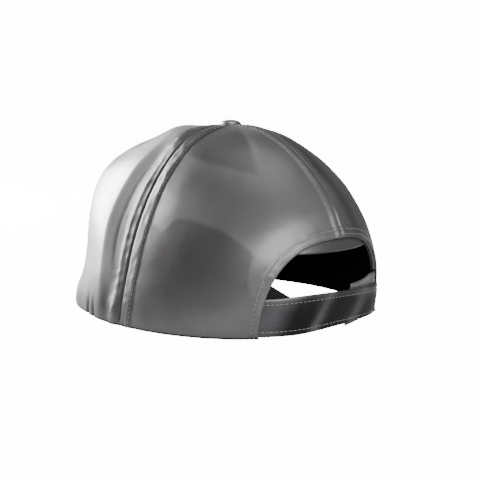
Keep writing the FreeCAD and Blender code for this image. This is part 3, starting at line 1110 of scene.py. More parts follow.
    @property
    def side_seam(self) -> Seam:
        """The side seam of this panel."""
        return Seam.LEFT if Seam.LEFT.value in self.quarter.value else Seam.RIGHT

    @staticmethod
    def upright(share: float) -> Grid:
        """Scale that draws a pattern out along the height, to one over the share."""
        return np.array([1.0, 1.0, share])

    def nips(self, turn: Grid, height: Grid) -> Grid:
        """Depth of the small puckers where the front panels meet the rim.

        Args:
            turn: Degrees from the front seam.
            height: Metres above the rim.

        Returns:
            Metres inwards, one per point.
        """
        mirrored = np.minimum(turn, 360.0 - turn)
        total = np.zeros(np.shape(turn))
        for where, tilt, depth in ((68.5, 0.10, 0.0014), (74.0, 0.04, 0.0012), (50.0, 0.0, 0.0006)):
            across = np.radians(mirrored - where - tilt * height * 1000.0) * 0.09
            total += depth * bump(across, 0.0014 + 0.07 * height) * (1.0 - smooth((height - 0.003) / 0.014))
        return total

    def relief(self, turn: Grid, lift: Grid, points: Grid) -> Grid:
        """Whole outward shift of the panel, kept clear of the layers under it.

        Args:
            turn: Degrees from the front seam.
            lift: 0 at the rim to 1 at the apex.
            points: The crown's points there.

        Returns:
            Metres outwards, one per point.
        """
        shift = (self.seam_relief(turn, lift, points) + self.hem_relief(points)
                 + self.fold_relief(turn, lift, points))
        soft = 0.00012
        kept = soft * np.logaddexp(0.0, shift / soft)
        return kept - np.minimum(self.groove(turn, lift, points), kept + 0.0001)

    def tone(self, turn: Grid, lift: Grid, points: Grid) -> Grid:
        """Brightness of the satin: its painted light, with painted shade darkening it in the seams and along
        the stitch rows.
        """
        groove_shade = 0.45 * np.clip(self.groove(turn, lift, points) / 0.0009, 0.0, 1.0)
        return self.painted_light_swathes(turn, lift, points) * (1.0 - groove_shade)

    def painted_light_swathes(self, turn: Grid, lift: Grid, points: Grid) -> Grid:
        """Broad soft swathes of painted reflection and painted shade on the satin.

        Args:
            turn: Degrees from the front seam.
            lift: 0 at the rim to 1 at the apex.
            points: The crown's points there.

        Returns:
            Brightness per point, about 0 to 1.
        """
        wander = 5.0 * ripple(points, 0.022, 6.0)
        if self.quarter is Quarter.REAR_LEFT:
            return self.rear_left_painted_light(turn, lift, points, wander)
        if self.quarter is Quarter.REAR_RIGHT:
            # Rear right: painted sheen, with one dark band of painted shade.
            band = bump(turn - 191.0 + wander, 4.5)
            return 0.25 + 0.07 * ripple(points, 0.03, 11.0) - 0.16 * band
        return self.front_painted_light(turn, lift, points)

    def rear_left_painted_light(self, turn: Grid, lift: Grid, points: Grid, wander: Grid) -> Grid:
        """Painted shade in a dark swathe low down and in one under the button, and a short painted highlight
        streak.

        Args:
            turn: Degrees from the front seam.
            lift: 0 at the rim to 1 at the apex.
            points: The crown's points there.
            wander: Degrees by which the swathes' edges wander.

        Returns:
            Brightness per point, about 0 to 1.
        """
        height = points[..., 2]
        # Painted shade: the dark swathe low down lies below this crest line.
        crest = 0.0665 - 0.016 * ((turn - 113.0 + wander) / 26.0) ** 2
        crest = crest - 0.006 * bump(turn - 103.0, 3.0)
        low = smooth((crest - height) / 0.0035) * smooth((turn - 93.5) / 5.0)
        low = low * (1.0 - smooth((turn + wander - 139.0) / 3.0))
        low = low * (0.35 + 0.65 * smooth((height - 0.004) / 0.040))
        # Painted shade under the button lies above this line.
        line = 0.0985 - 0.0105 * (turn - 95.0) / 48.0 + 0.0003 * wander
        high = smooth((height - line) / 0.004) * (1.0 - smooth((turn - 143.0) / 6.0))
        # A short painted highlight streak.
        highlight_streak = bump(turn - 150.0, 3.0) * bump(height - 0.105, 0.0035)
        # The satin brightens towards the back as painted light, with painted shade beside the side seam.
        base = 0.215 + 0.035 * ripple(points, 0.03, 5.0) + 0.15 * smooth((turn - 100.0) / 45.0)
        gap = self.seam_distance(turn, lift, self.side_seam.value)
        beside = 1.0 - smooth((gap - 0.0064) / 0.0022)
        return (base - 0.15 * low - 0.15 * high + 0.12 * highlight_streak) * (1.0 - 0.45 * beside)

    def front_painted_light(self, turn: Grid, lift: Grid, points: Grid) -> Grid:
        """Painted shade in the fold valley beside the side seam, a painted highlight on the allowance's
        ridge, and painted key light on the cloth that calms towards the front.

        Args:
            turn: Degrees from the front seam.
            lift: 0 at the rim to 1 at the apex.
            points: The crown's points there.

        Returns:
            Brightness per point, about 0 to 1.
        """
        height = points[..., 2]
        gap = self.seam_distance(turn, lift, self.side_seam.value)
        flow = ripple(points * self.upright(0.25), 0.014, 9.0)
        edge = 0.0062 + 0.0072 * bump(height - 0.054, 0.036) + 0.0012 * flow
        # Rises from the painted shade of the fold valley to the painted key light beyond its edge.
        bright = smooth((gap - edge) / 0.0036)
        # A thin painted highlight on the ridge of the seam allowance.
        crest = bump(gap - 0.0045, 0.0013) * (0.55 + 0.45 * ripple(points, 0.006, 3.0))
        cross = ripple(points, 0.030, 14.0)
        # Painted key light, with painted shade low down; calm is the dimmer cloth towards the front and on
        # the front right panel.
        light = 0.86 + 0.26 * flow + 0.10 * cross - 0.74 * smooth((0.034 - height) / 0.027)
        calm = 0.30 + 0.08 * flow + 0.06 * cross
        near = smooth((0.078 - gap) / 0.042) * float(self.quarter is Quarter.FRONT_LEFT)
        light = calm + (light - calm) * near
        # Painted shade in the small puckers at the rim.
        light = light * (1.0 - 0.92 * np.clip(self.nips(turn, height) / 0.0008, 0.0, 1.0))
        valley = 0.12
        return valley + 0.20 * crest + (light - valley) * bright

    def where(self, turn: Grid, lift: Grid) -> tuple[Grid, Grid]:
        """Points and normals on the finished panel."""
        points = CROWN.surface(turn, lift)
        return CROWN.place(turn, lift, self.relief(turn, lift, points)), CROWN.outward(turn, lift)

    def build(self, wardrobe: Wardrobe) -> bpy.types.Object:
        """Makes and dresses the panel.

        Args:
            wardrobe: The cap's finishes.

        Returns:
            The panel.
        """
        turn, lift = self.grid()
        tone = self.tone(turn, lift, CROWN.surface(turn, lift))
        name = f"satin_{self.quarter.label}"
        piece = Cloth.follow(name, turn, lift, LAYERS.panel, self.relief, tone)
        finish_piece(piece, wardrobe.satin, "crown")
        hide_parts(f"{self.quarter.label}_panel")
        return piece


def satin_shift(panels: dict[Quarter, CrownPanel], turn: Grid, lift: Grid) -> Grid:
    """Outward shift of whichever satin panel lies at each turn and lift.

    Args:
        panels: The satin panels, by quarter.
        turn: Degrees from the front seam.
        lift: 0 at the rim to 1 at the apex.

    Returns:
        Metres outwards, one per point.
    """
    turn = turn % 360.0
    points = CROWN.surface(turn, lift)
    shift = np.zeros(turn.shape)
    for quarter, panel in panels.items():
        first, last = quarter.value
        shift = np.where((turn >= first) & (turn <= last), panel.relief(turn, lift, points), shift)
    return shift


@dataclass
class LiningPanel:
    """One black lining quarter under its satin panel, with its cut's width, length and area."""

    quarter: Quarter
    margin: float = 0.005
    top_radius: float = 0.009
    front_cut: tuple[float, float, float] = (0.163, 0.184, 0.0179)
    rear_cut: tuple[float, float, float] = (0.145, 0.150, 0.0128)

    def relief(self, turn: Grid, lift: Grid, points: Grid) -> Grid:
        """Light slack, kept inside the layer's own space."""
        return -0.00012 * (1.0 + ripple(points, 0.02, 6.1))

    def build(self, wardrobe: Wardrobe) -> bpy.types.Object:
        """Makes and dresses the lining.

        Args:
            wardrobe: The cap's finishes.

        Returns:
            The lining.
        """
        if self.quarter.is_rear:
            turn, lift = rear_grid(self.quarter, self.margin, self.top_radius, 70, 70)
        else:
            first, last = self.quarter.value
            turns = first + 0.05 + (last - first - 0.10) * crowded(60)
            turn, lift = rectangle(turns[0], turns[-1], CROWN.lift_at(LAYERS.rim_low),
                                   CROWN.lift_at_radius(turns, self.top_radius), 60, 70)
        tone = 0.5 + 0.2 * ripple(CROWN.surface(turn, lift), 0.03, 8.0)
        piece = Cloth.follow(f"lining_{self.quarter.label}", turn, lift, LAYERS.lining, self.relief, tone)
        finish_piece(piece, wardrobe.lining, "crown")
        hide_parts(f"{self.quarter.label}_lining")
        return piece


@dataclass
class SeamTape:
    """Tape covering a seam inside the crown, wider over the side seams than front and back."""

    seam: Seam
    low: float
    width: float = 0.013
    top_radius: float = 0.0112
    stitch_inset: float = 0.0013
    rows: int = 90

    def path(self, offset: float) -> tuple[Grid, Grid]:
        """Turns and lifts of a line along the tape.

        Args:
            offset: Metres beside the tape's middle line.

        Returns:
            Turns and lifts along the line.
        """
        top = float(CROWN.lift_at_radius(np.array(self.seam.value), self.top_radius))
        lift = np.linspace(float(CROWN.lift_at(self.low)), top, self.rows)
        return CROWN.beside(self.seam, offset, lift), lift

    def build(self, wardrobe: Wardrobe, stitching: Stitching) -> list[bpy.types.Object]:
        """Makes the tape and its two rows of stitches.

        Args:
            wardrobe: The cap's finishes.
            stitching: The shared stitch.

        Returns:
            The tape and its stitch rows.
        """
        name = self.seam.name.lower()
        lines = [self.path(offset) for offset in np.linspace(-0.5, 0.5, 9) * self.width]
        turn = np.stack([line[0] for line in lines], axis=1)
        lift = np.stack([line[1] for line in lines], axis=1)
        tape = Cloth.follow(f"{name}_tape", turn, lift, LAYERS.tape, None, np.full(turn.shape, 0.5))
        finish_piece(tape, wardrobe.tape, "crown")
        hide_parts(f"{name}_seam_tape")
        points = CROWN.surface(turn, lift)
        rows = []
        for side in (-1.0, 1.0):
            line_turn, line_lift = self.path(side * (self.width / 2.0 - self.stitch_inset))
            depth = LAYERS.tape[0] + LAYERS.tape[1]
            row = stitching.row(f"{name}_tape_thread_{'a' if side < 0 else 'b'}",
                                CROWN.place(line_turn, line_lift, -depth),
                                -CROWN.outward(line_turn, line_lift), 0.0)
            finish_piece(row, wardrobe.black_thread, "crown")
            rows.append(row)
        return [tape, *rows]


@dataclass
class OpeningFacing:
    """Satin facing behind the arch, straight along its lower edge."""

    straight: float = 0.0475
    reach: float = 0.012
    top: float = 0.070

    def build(self, wardrobe: Wardrobe) -> bpy.types.Object:
        """Makes and dresses the facing.

        Args:
            wardrobe: The cap's finishes.

        Returns:
            The facing.
        """
        angle = np.linspace(0.0, math.pi, 111)
        inner_across, inner_up = ARCH.outline(angle, 0.0002)
        inner_up = np.minimum(inner_up, self.straight)
        cosine = np.cos(angle)
        power = 2.0 / ARCH.exponent
        outer_across = ((ARCH.half_width + self.reach) * np.abs(cosine) ** power * np.sign(cosine))
        outer_up = self.top * np.sin(angle) ** power
        share = np.linspace(0.0, 1.0, 22)[:, None]
        across = inner_across[None, :] + (outer_across - inner_across)[None, :] * share
        height = inner_up[None, :] + (outer_up - inner_up)[None, :] * share
        height = np.maximum(height, LAYERS.rim_low)
        turn = CROWN.turn_at(across, height)
        lift = CROWN.lift_at(height)
        points = CROWN.surface(turn, lift)
        piece = Cloth.follow("opening_facing_cloth", turn, lift, LAYERS.tape,
                             lambda t, v, p: -0.00008 * (1.0 + ripple(p, 0.012, 2.2)),
                             0.19 + 0.09 * ripple(points, 0.02, 2.9))
        finish_piece(piece, wardrobe.satin, "crown")
        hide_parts("opening_facing")
        return piece


@dataclass
class ArchRoll:
    """Satin turned round the arch's edge, from the panels to the facing."""

    lowest: float = 0.0285
    lap: float = 0.0016
    proud: float = 0.00022
    wall: float = 0.00022
    profile: int = 12
    columns: int = 220

    def build(self, panels: dict[Quarter, CrownPanel], wardrobe: Wardrobe) -> bpy.types.Object:
        """Makes and dresses the roll.

        Args:
            panels: The satin panels, by quarter.
            wardrobe: The cap's finishes.

        Returns:
            The roll.
        """
        first = math.asin((self.lowest / ARCH.height) ** (ARCH.exponent / 2.0))
        angle = np.linspace(first, math.pi - first, self.columns)
        deep = LAYERS.tape[0] + LAYERS.tape[1] + 0.0001
        turned = np.linspace(0.0, math.pi, self.profile)
        outer, inner = [], []
        for grid, shrink in ((outer, 0.0), (inner, self.wall)):
            for around in turned:
                lap = self.lap * np.clip(abs(math.cos(around)) * 1.4 - 0.4, 0.0, 1.0)
                edge = lap - self.proud * math.sin(around) + shrink * math.sin(around)
                across, height = ARCH.outline(angle, edge)
                turn, lift = CROWN.turn_at(across, height), CROWN.lift_at(height)
                shift = satin_shift(panels, turn, lift)
                share = (1.0 - math.cos(around)) / 2.0
                face = (shift + self.proud - shrink) * (1.0 - share) - (deep - shrink) * share
                grid.append(CROWN.place(turn, lift, face))
        chart = np.stack(np.meshgrid(angle * 0.05, turned * 0.001), axis=-1)
        piece = Cloth.shell("arch_roll", np.array(outer), np.array(inner), chart,
                            np.full((self.profile, self.columns), 0.50))
        finish_piece(piece, wardrobe.satin, "crown")
        return piece


@dataclass
class Sweatband:
    """Black twill band inside the rim, with a slanted tail past the opening's left edge."""

    height: float = 0.0345
    tail: float = 0.0155
    tail_height: float = 0.0225
    stitch_levels: tuple[float, float] = (0.0323, 0.0035)
    columns: int = 220
    tail_columns: int = 25
    rows: int = 16

    def build(self, wardrobe: Wardrobe, stitching: Stitching) -> list[bpy.types.Object]:
        """Makes the band and the stitches that hold its upper edge's fold.

        Args:
            wardrobe: The cap's finishes.
            stitching: The shared stitch.

        Returns:
            The band and its stitch rows.
        """
        left = float(CROWN.turn_at(ARCH.half_width, 0.0))
        end = float(CROWN.turn_at(ARCH.half_width - self.tail, 0.0))
        band_columns = self.columns - self.tail_columns + 1
        turns = np.concatenate([np.linspace(-left, left, band_columns)[:-1],
                                np.linspace(left, end, self.tail_columns)])
        top = np.full(turns.shape, self.height)
        past = np.clip((turns - left) / (end - left), 0.0, 1.0)
        top = top - (self.height - self.tail_height) * past
        low = float(CROWN.lift_at(LAYERS.rim_low))
        share = np.linspace(0.0, 1.0, self.rows)[:, None]
        high = CROWN.lift_at(top)[None, :]
        lift = low + (high - low) * share
        turn = turns[None, :].repeat(self.rows, axis=0)
        piece = Cloth.follow("sweatband_cloth", turn, lift, LAYERS.sweatband,
                             lambda t, v, p: -0.00010 * (1.0 + ripple(p, 0.02, 3.3)),
                             0.5 + 0.25 * ripple(CROWN.surface(turn, lift), 0.02, 4.0))
        finish_piece(piece, wardrobe.band, "crown")
        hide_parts("sweatband")
        made = [piece]
        depth = LAYERS.sweatband[0] + LAYERS.sweatband[1] + 0.00005
        for name, level in zip(("upper", "lower"), self.stitch_levels):
            line = np.linspace(-left + 1.0, left - 1.0, 400)
            at = CROWN.lift_at(np.full(line.shape, level))
            row = stitching.row(f"sweatband_thread_{name}", CROWN.place(line, at, -depth),
                                -CROWN.outward(line, at), 0.0)
            finish_piece(row, wardrobe.black_thread, "crown")
            made.append(row)
        return made


@dataclass
class RimBinding:
    """Black binding closing the layers along the rim."""

    height: float = 0.001
    columns: int = 260

    def build(self, panels: dict[Quarter, CrownPanel], wardrobe: Wardrobe) -> bpy.types.Object:
        """Makes the binding as a folded strip under the layers.

        Args:
            panels: The satin panels, by quarter.
            wardrobe: The cap's finishes.

        Returns:
            The binding.
        """
        left = float(CROWN.turn_at(ARCH.half_width, 0.0))
        turns = np.linspace(-left, left, self.columns)
        across = np.linspace(0.0, 1.0, 9)[:, None]
        turn = turns[None, :].repeat(9, axis=0)
        rim = np.full(turns.shape, float(CROWN.lift_at(LAYERS.rim_low)))
        outer = -satin_shift(panels, turns, rim)[None, :] - 0.0003
        depth = outer + (LAYERS.full - outer) * across
        low = CROWN.place(turn, np.zeros(turn.shape), -depth)
        edge = 0.00042 * (bump(across, 0.08) + bump(across - 1.0, 0.08))
        low[..., 2] = 0.00002 + edge + 0.00012 * (1.0 + ripple(low, 0.004, 1.1)) * bump(across, 0.2)
        high = CROWN.place(turn, np.zeros(turn.shape), -depth)
        high[..., 2] = self.height - 0.6 * edge
        chart = np.stack([np.radians(turn) * CROWN.half_width, depth], axis=-1)
        piece = Cloth.shell("rim_binding_cloth", high, low, chart, np.full(turn.shape, 0.5), roll=0.3)
        finish_piece(piece, wardrobe.binding, "crown")
        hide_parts("rim_binding")
        return piece


@dataclass
class Fastening:
    """Shared parts of the strap and the tab: a band across the opening that folds at one end."""

    low: float
    high: float
    start: float
    end: float
    fold: float
    body: str
    padding: float = 0.00025
    rows: int = 26
    columns: int = 130

    def depth(self, across: Grid) -> Grid:
        """Depth of the outer face under the crown's surface."""
        return np.full(np.shape(across), LAYERS.strap[0])

    def drop(self, across: Grid) -> Grid:
        """How far the band hangs below its level place."""
        return np.zeros(np.shape(across))

    def relief(self, share: Grid, points: Grid) -> Grid:
        """Padding between the stitch rows, their grooves and light waves.

        Args:
            share: 0 at the lower edge to 1 at the upper.
            points: The crown's points there.

        Returns:
            Metres outwards, one per point.
        """
        edge = np.minimum(share, 1.0 - share) * (self.high - self.low)
        groove = bump(edge - 0.0040, 0.0007) * 0.00022
        swell = self.padding * smooth((edge - 0.0030) / 0.004)
        round_off = 0.00035 * bump(edge, 0.0006)
        waves = 0.00018 * ripple(points, 0.014, self.end * 50.0)
        return swell - groove - round_off + waves - self.padding

    def edges(self, across: Grid) -> tuple[Grid, Grid]:
        """Heights of the band's lower and upper edges."""
        return self.low - self.drop(across), self.high - self.drop(across)

    def lean(self, share: Grid, across: Grid) -> Grid:
        """Place across after the free end's slant."""
        return across

    def surface(self, share: Grid, across: Grid) -> tuple[Grid, Grid]:
        """Points and normals of the band's outer face.

        Args:
            share: 0 at the lower edge to 1 at the upper.
            across: Metres across before the slant of the free end.

        Returns:
            Points and unit normals, shape (..., 3).
        """
        across = self.lean(share, across)
        turn = CROWN.turn_at(across, np.zeros(np.shape(across)))
        low, high = self.edges(across)
        lift = CROWN.lift_at(low + (high - low) * share)
        points = CROWN.surface(turn, lift)
        shift = self.relief(share, points) - self.depth(across)
        return CROWN.place(turn, lift, shift), CROWN.outward(turn, lift)

    def bend(self, piece: bpy.types.Object) -> None:
        """Bakes the piece's transform into its mesh; the points on both sides of the fold are worked out but
        not used.

        Args:
            piece: The band or one of its stitch rows.
        """
        inward = math.copysign(1.0, self.end - self.start)
        for reach in (-0.0015, 0.0035):
            across = np.array([self.fold + inward * reach])
            point, _ = self.surface(np.array([0.5]), across)
        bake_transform(piece)

    def band(self, name: str, thickness: float, tone: Grid) -> bpy.types.Object:
        """The band's cloth.

        Args:
            name: Name of the object.
            thickness: Thickness of the cloth.
            tone: Brightness per point.

        Returns:
            The new object.
        """
        across = np.linspace(self.start, self.end, self.columns)[None, :].repeat(self.rows, axis=0)
        share = (0.5 - 0.5 * np.cos(np.linspace(0.0, math.pi, self.rows)))[:, None]
        share = share.repeat(self.columns, axis=1)
        outer, normals = self.surface(share, across)
        inner = outer - normals * (thickness - 0.0002 * bump(np.minimum(share, 1.0 - share), 0.05))[..., None]
        chart = np.stack([share * (self.high - self.low), across], axis=-1)
        return Cloth.shell(name, outer, inner, chart, tone)

    def sewn(self, rows: dict[str, tuple[Grid, Grid]], wardrobe: Wardrobe,
             stitching: Stitching) -> list[bpy.types.Object]:
        """Rows of stitches on the outer face.

        Args:
            rows: The share and the place across of each row's points, by the row's name.
            wardrobe: The cap's finishes.
            stitching: The shared stitch.

        Returns:
            The rows.
        """
        made = []
        for name, (share, across) in rows.items():
            points, normals = self.surface(share, across)
            row = stitching.row(name, points, normals)
            finish_piece(row, wardrobe.light_thread)
            self.bend(row)
            made.append(row)
        return made


@dataclass
class LongStrap(Fastening):
    """Strap from behind the opening's left edge to its free end on the right."""

    low: float = 0.0018
    high: float = 0.0256
    start: float = 0.0590
    end: float = -0.0435
    fold: float = 0.04575
    body: str = "long_strap"
    slant: float = 0.0055
    slant_reach: float = 0.022
    lift_off: float = 0.0021
    seam_inset: float = 0.0040
    end_inset: float = 0.0035
    seen_from: float = 0.0500
    patch: tuple[float, float] = (-0.0085, -0.0370)

    def edges(self, across: Grid) -> tuple[Grid, Grid]:
        """Heights of the edges: the strap narrows and droops towards its free end.

        Args:
            across: Metres across, positive towards the left.

        Returns:
            Heights of the lower and upper edges.
        """
        away = np.clip((self.start - across) / (self.start - self.end), 0.0, 1.0)
        low = 0.0009 + 0.0020 * smooth((away - 0.22) / 0.35)
        high = 0.0238 - 0.0014 * bump(away - 0.12, 0.16) - 0.0036 * smooth((away - 0.45) / 0.6)
        return low, high

    def lean(self, share: Grid, across: Grid) -> Grid:
        """Slants the free end, its upper corner the further out."""
        near = smooth((self.end + self.slant_reach - across) / self.slant_reach)
        return across - self.slant * (share - 0.45) * near

    def depth(self, across: Grid) -> Grid:
        """Level with the crown, its free end standing a little proud of the tab under it."""
        proud = self.lift_off * smooth((-0.014 - across) / 0.024)
        return LAYERS.strap[0] - proud

    def tone(self) -> Grid:
        """Soft bars of painted sheen, light and dark, across the strap, and a painted highlight along its
        upper edge.

        Returns:
            Brightness, shape (rows, columns).
        """
        across = np.linspace(self.start, self.end, self.columns)
        painted_sheen_bars = np.zeros((self.rows, self.columns))
        tilt = (0.5 - 0.5 * np.cos(np.linspace(0.0, math.pi, self.rows)))[:, None]
        # Bars of painted highlight and painted shade, tilted a little.
        for centre, width, strength in ((0.045, 0.0085, 0.34), (0.016, 0.0032, 0.40), (-0.016, 0.0052, 0.36),
                                        (-0.038, 0.0030, 0.14), (0.028, 0.0050, -0.16),
                                        (0.001, 0.0060, -0.12), (-0.028, 0.0040, -0.14)):
            shifted = across[None, :] - centre + 0.010 * (tilt - 0.5)
            painted_sheen_bars = painted_sheen_bars + strength * np.exp(-(shifted / width) ** 2)
        faint = 0.06 * ripple(np.stack(np.broadcast_arrays(across[None, :], tilt * 0.02, 0.0 * tilt),
                                       axis=-1), 0.008, 4.0)
        # Painted highlight along the upper edge.
        upper_edge_highlight = 0.16 * smooth((tilt - 0.84) / 0.08)
        return np.clip(0.045 + painted_sheen_bars * (0.55 + 0.45 * (1.0 - tilt)) + faint + upper_edge_highlight, 0.02, 1.0)

    def build(self, wardrobe: Wardrobe, stitching: Stitching) -> list[bpy.types.Object]:
        """Makes the strap, its threads and the loop patch.

        Args:
            wardrobe: The cap's finishes.
            stitching: The shared stitch.

        Returns:
            Every piece of the strap.
        """
        strap = self.band("long_strap_cloth", LAYERS.strap[1], self.tone())
        finish_piece(strap, wardrobe.strap_satin)
        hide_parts("long_strap", "long_strap_root")
        self.bend(strap)
        inset = self.seam_inset / (self.high - self.low)
        last = self.end + self.end_inset
        visible = np.linspace(self.seen_from, last, 220)
        rows = {"strap_thread_top": (np.full(220, 1.0 - inset * 0.85), visible),
                "strap_thread_bottom": (np.full(220, inset * 0.75), visible),
                "strap_thread_end": (np.linspace(inset, 1.0 - inset, 60), np.full(60, last))}
        return [strap, *self.sewn(rows, wardrobe, stitching), self.loop_patch(wardrobe)]

    def loop_patch(self, wardrobe: Wardrobe) -> bpy.types.Object:
        """Soft loop pile on the strap's inside.

        Args:
            wardrobe: The cap's finishes.

        Returns:
            The patch.
        """
        across = np.linspace(*self.patch, 60)[None, :].repeat(40, axis=0)
        share = np.linspace(0.12, 0.88, 40)[:, None].repeat(60, axis=1)
        outer, normals = self.surface(share, across)
        outer = outer - normals * (LAYERS.strap[1] + 0.00005)
        fuzz = 0.00008 * ripple(outer, 0.0009, 2.0)
        inner = outer - normals * (LAYERS.loop[1] - fuzz)[..., None]
        piece = Cloth.shell("loop_patch_pile", outer, inner, np.stack([across, share * 0.021], axis=-1),
                            0.5 + 0.3 * ripple(outer, 0.002, 5.0))
        finish_piece(piece, wardrobe.loops, "long_strap")
        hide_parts("loop_patch")
        return piece


@dataclass
class ShortTab(Fastening):
    """Tab from behind the opening's right edge, dipping under the strap."""

    low: float = 0.0020
    high: float = 0.0272
    start: float = -0.0590
    end: float = -0.0080
    fold: float = -0.0452
    body: str = "short_tab"
    padding: float = 0.00010
    tilt: float = 0.0014
    ramp: float = 0.0065
    seam_inset: float = 0.0030
    end_inset: float = 0.0014
    seen_from: float = -0.0490
    patch: tuple[float, float] = (-0.0105, -0.0380)
    patch_levels: tuple[float, float] = (0.0043, 0.0190)
    hook_pitch: float = 0.0013
    hook_inset: float = 0.0007

    def depth(self, across: Grid) -> Grid:
        """Level with its root at the fold, then behind the strap."""
        share = smooth((across - self.fold - 0.0006) / self.ramp)
        return LAYERS.strap[0] + (LAYERS.tab[0] - LAYERS.strap[0]) * share

    def drop(self, across: Grid) -> Grid:
        """Hangs lower towards its free end."""
        return self.tilt * np.clip((across - self.fold) / (self.end - self.fold), 0.0, 1.0)

    def build(self, wardrobe: Wardrobe, stitching: Stitching) -> list[bpy.types.Object]:
        """Makes the tab, its threads and the hook patch.

        Args:
            wardrobe: The cap's finishes.
            stitching: The shared stitch.

        Returns:
            Every piece of the tab.
        """
        tone = 0.66 + 0.2 * ripple(np.stack(np.meshgrid(
            np.linspace(0.0, 0.05, self.columns), np.linspace(0.0, 0.025, self.rows), [0.0]),
            axis=-1)[:, :, 0, :], 0.012, 2.0)
        tab = self.band("short_tab_cloth", LAYERS.tab[1], tone)
        finish_piece(tab, wardrobe.strap_satin)
        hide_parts("short_tab", "short_tab_root")
        self.bend(tab)
        inset = self.seam_inset / (self.high - self.low)
        visible = np.linspace(self.seen_from, self.end - self.seam_inset, 160)
        rows = {"tab_thread_top": (np.full(160, 1.0 - inset * 0.6), visible),
                "tab_thread_bottom": (np.full(160, inset * 0.6), visible),
                "tab_thread_end": (np.linspace(inset, 1.0 - inset, 60),
                                   np.full(60, self.end - self.end_inset))}
        return [tab, *self.sewn(rows, wardrobe, stitching), *self.hook_patch(wardrobe)]

    def hook_patch(self, wardrobe: Wardrobe) -> list[bpy.types.Object]:
        """Hook tape on the tab's outside, with rows of short hooks.

        Args:
            wardrobe: The cap's finishes.

        Returns:
            The tape and its hooks.
        """
        across = np.linspace(*self.patch, 50)[None, :].repeat(30, axis=0)
        height = np.linspace(*self.patch_levels, 30)[:, None].repeat(50, axis=1)
        turn = CROWN.turn_at(across, np.zeros(across.shape))
        lift = CROWN.lift_at(height)
        outer = CROWN.place(turn, lift, -LAYERS.hook[0] - 0.0002)
        inner = CROWN.place(turn, lift, -LAYERS.hook[0] - LAYERS.hook[1])
        base = Cloth.shell("hook_patch_base", outer, inner, np.stack([across, height], axis=-1),
                           np.full(across.shape, 0.4))
        finish_piece(base, wardrobe.hooks, "short_tab")
        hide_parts("hook_patch")
        hook = Stitching(length=0.0009, pitch=self.hook_pitch, radius=0.00011)
        hooks = []
        for number, level in enumerate(np.arange(0.0052, 0.0184, self.hook_pitch)):
            line = np.linspace(self.patch[0] - self.hook_inset, self.patch[1] + self.hook_inset, 60)
            at = CROWN.lift_at(np.full(60, level))
            bearing = CROWN.turn_at(line, np.zeros(60))
            hooks.append(hook.row(f"hook_row_{number}", CROWN.place(bearing, at, -LAYERS.hook[0] - 0.0001),
                                  CROWN.outward(bearing, at), 0.0))
        bpy.ops.object.select_all(action="DESELECT")
        for row in hooks:
            row.select_set(True)
        bpy.context.view_layer.objects.active = hooks[0]
        bpy.ops.object.join()
        rows = bpy.context.object
        rows.name = "hook_rows"
        finish_piece(rows, wardrobe.hooks, "short_tab")
        return [base, rows]


@dataclass
class TopStitching:
    """Light topstitching of the crown: twin rows on the seams and the arch's hem."""

    panels: dict[Quarter, CrownPanel]
    apex_radius: float = 0.0098

    def panel_beside(self, seam: Seam, side: float) -> CrownPanel:
        """Panel on one side of a seam.

        Args:
            seam: The seam.
            side: 1 for larger turns, -1 for smaller.

        Returns:
            The panel there.
        """
        order = list(Quarter)
        place = int(seam.value // 90.0)
        return self.panels[order[place % 4] if side > 0.0 else order[place - 1]]

    def seam_row(self, seam: Seam, side: float, stitching: Stitching) -> bpy.types.Object:
        """Row beside a seam, from the rim or the arch to the button.

        Args:
            seam: The seam to follow.
            side: 1 for larger turns, -1 for smaller.
            stitching: The shared stitch.

        Returns:
            The row.
        """
        panel = self.panel_beside(seam, side)
        offset = panel.back_allowance if seam is Seam.BACK else panel.allowance
        start = 0.0024 if seam is not Seam.BACK else ARCH.height + panel.hem
        top = float(CROWN.lift_at_radius(np.array(seam.value), self.apex_radius))
        lift = np.linspace(float(CROWN.lift_at(start)), top, 500)
        turn = CROWN.beside(seam, side * offset, lift)
        points, normals = panel.where(turn, lift)
        name = f"{seam.name.lower()}_seam_thread_{'a' if side < 0 else 'b'}"
        return stitching.row(name, points, normals)

    def hem_row(self, quarter: Quarter, stitching: Stitching) -> bpy.types.Object:
        """Row along the arch's hem on one rear panel.

        Args:
            quarter: A rear quarter.
            stitching: The shared stitch.

        Returns:
            The row.
        """
        panel = self.panels[quarter]
        across, height = ARCH.outline(np.linspace(0.02, math.pi / 2.0 - 0.02, 260), panel.hem)
        height = np.maximum(height, 0.002)
        if quarter is Quarter.REAR_RIGHT:
            across = -across
        points, normals = panel.where(CROWN.turn_at(across, height), CROWN.lift_at(height))
        return stitching.row(f"{quarter.label}_hem_thread", points, normals)

    def build(self, wardrobe: Wardrobe, stitching: Stitching) -> list[bpy.types.Object]:
        """Makes every row.

        Args:
            wardrobe: The cap's finishes.
            stitching: The shared stitch.

        Returns:
            The rows.
        """
        made = [self.seam_row(seam, side, stitching) for seam in Seam for side in (-1.0, 1.0)]
        made += [self.hem_row(quarter, stitching) for quarter in Quarter if quarter.is_rear]
        for row in made:
            thread = wardrobe.light_thread if "hem" in row.name else wardrobe.crown_thread
            finish_piece(row, thread, "crown")
        return made


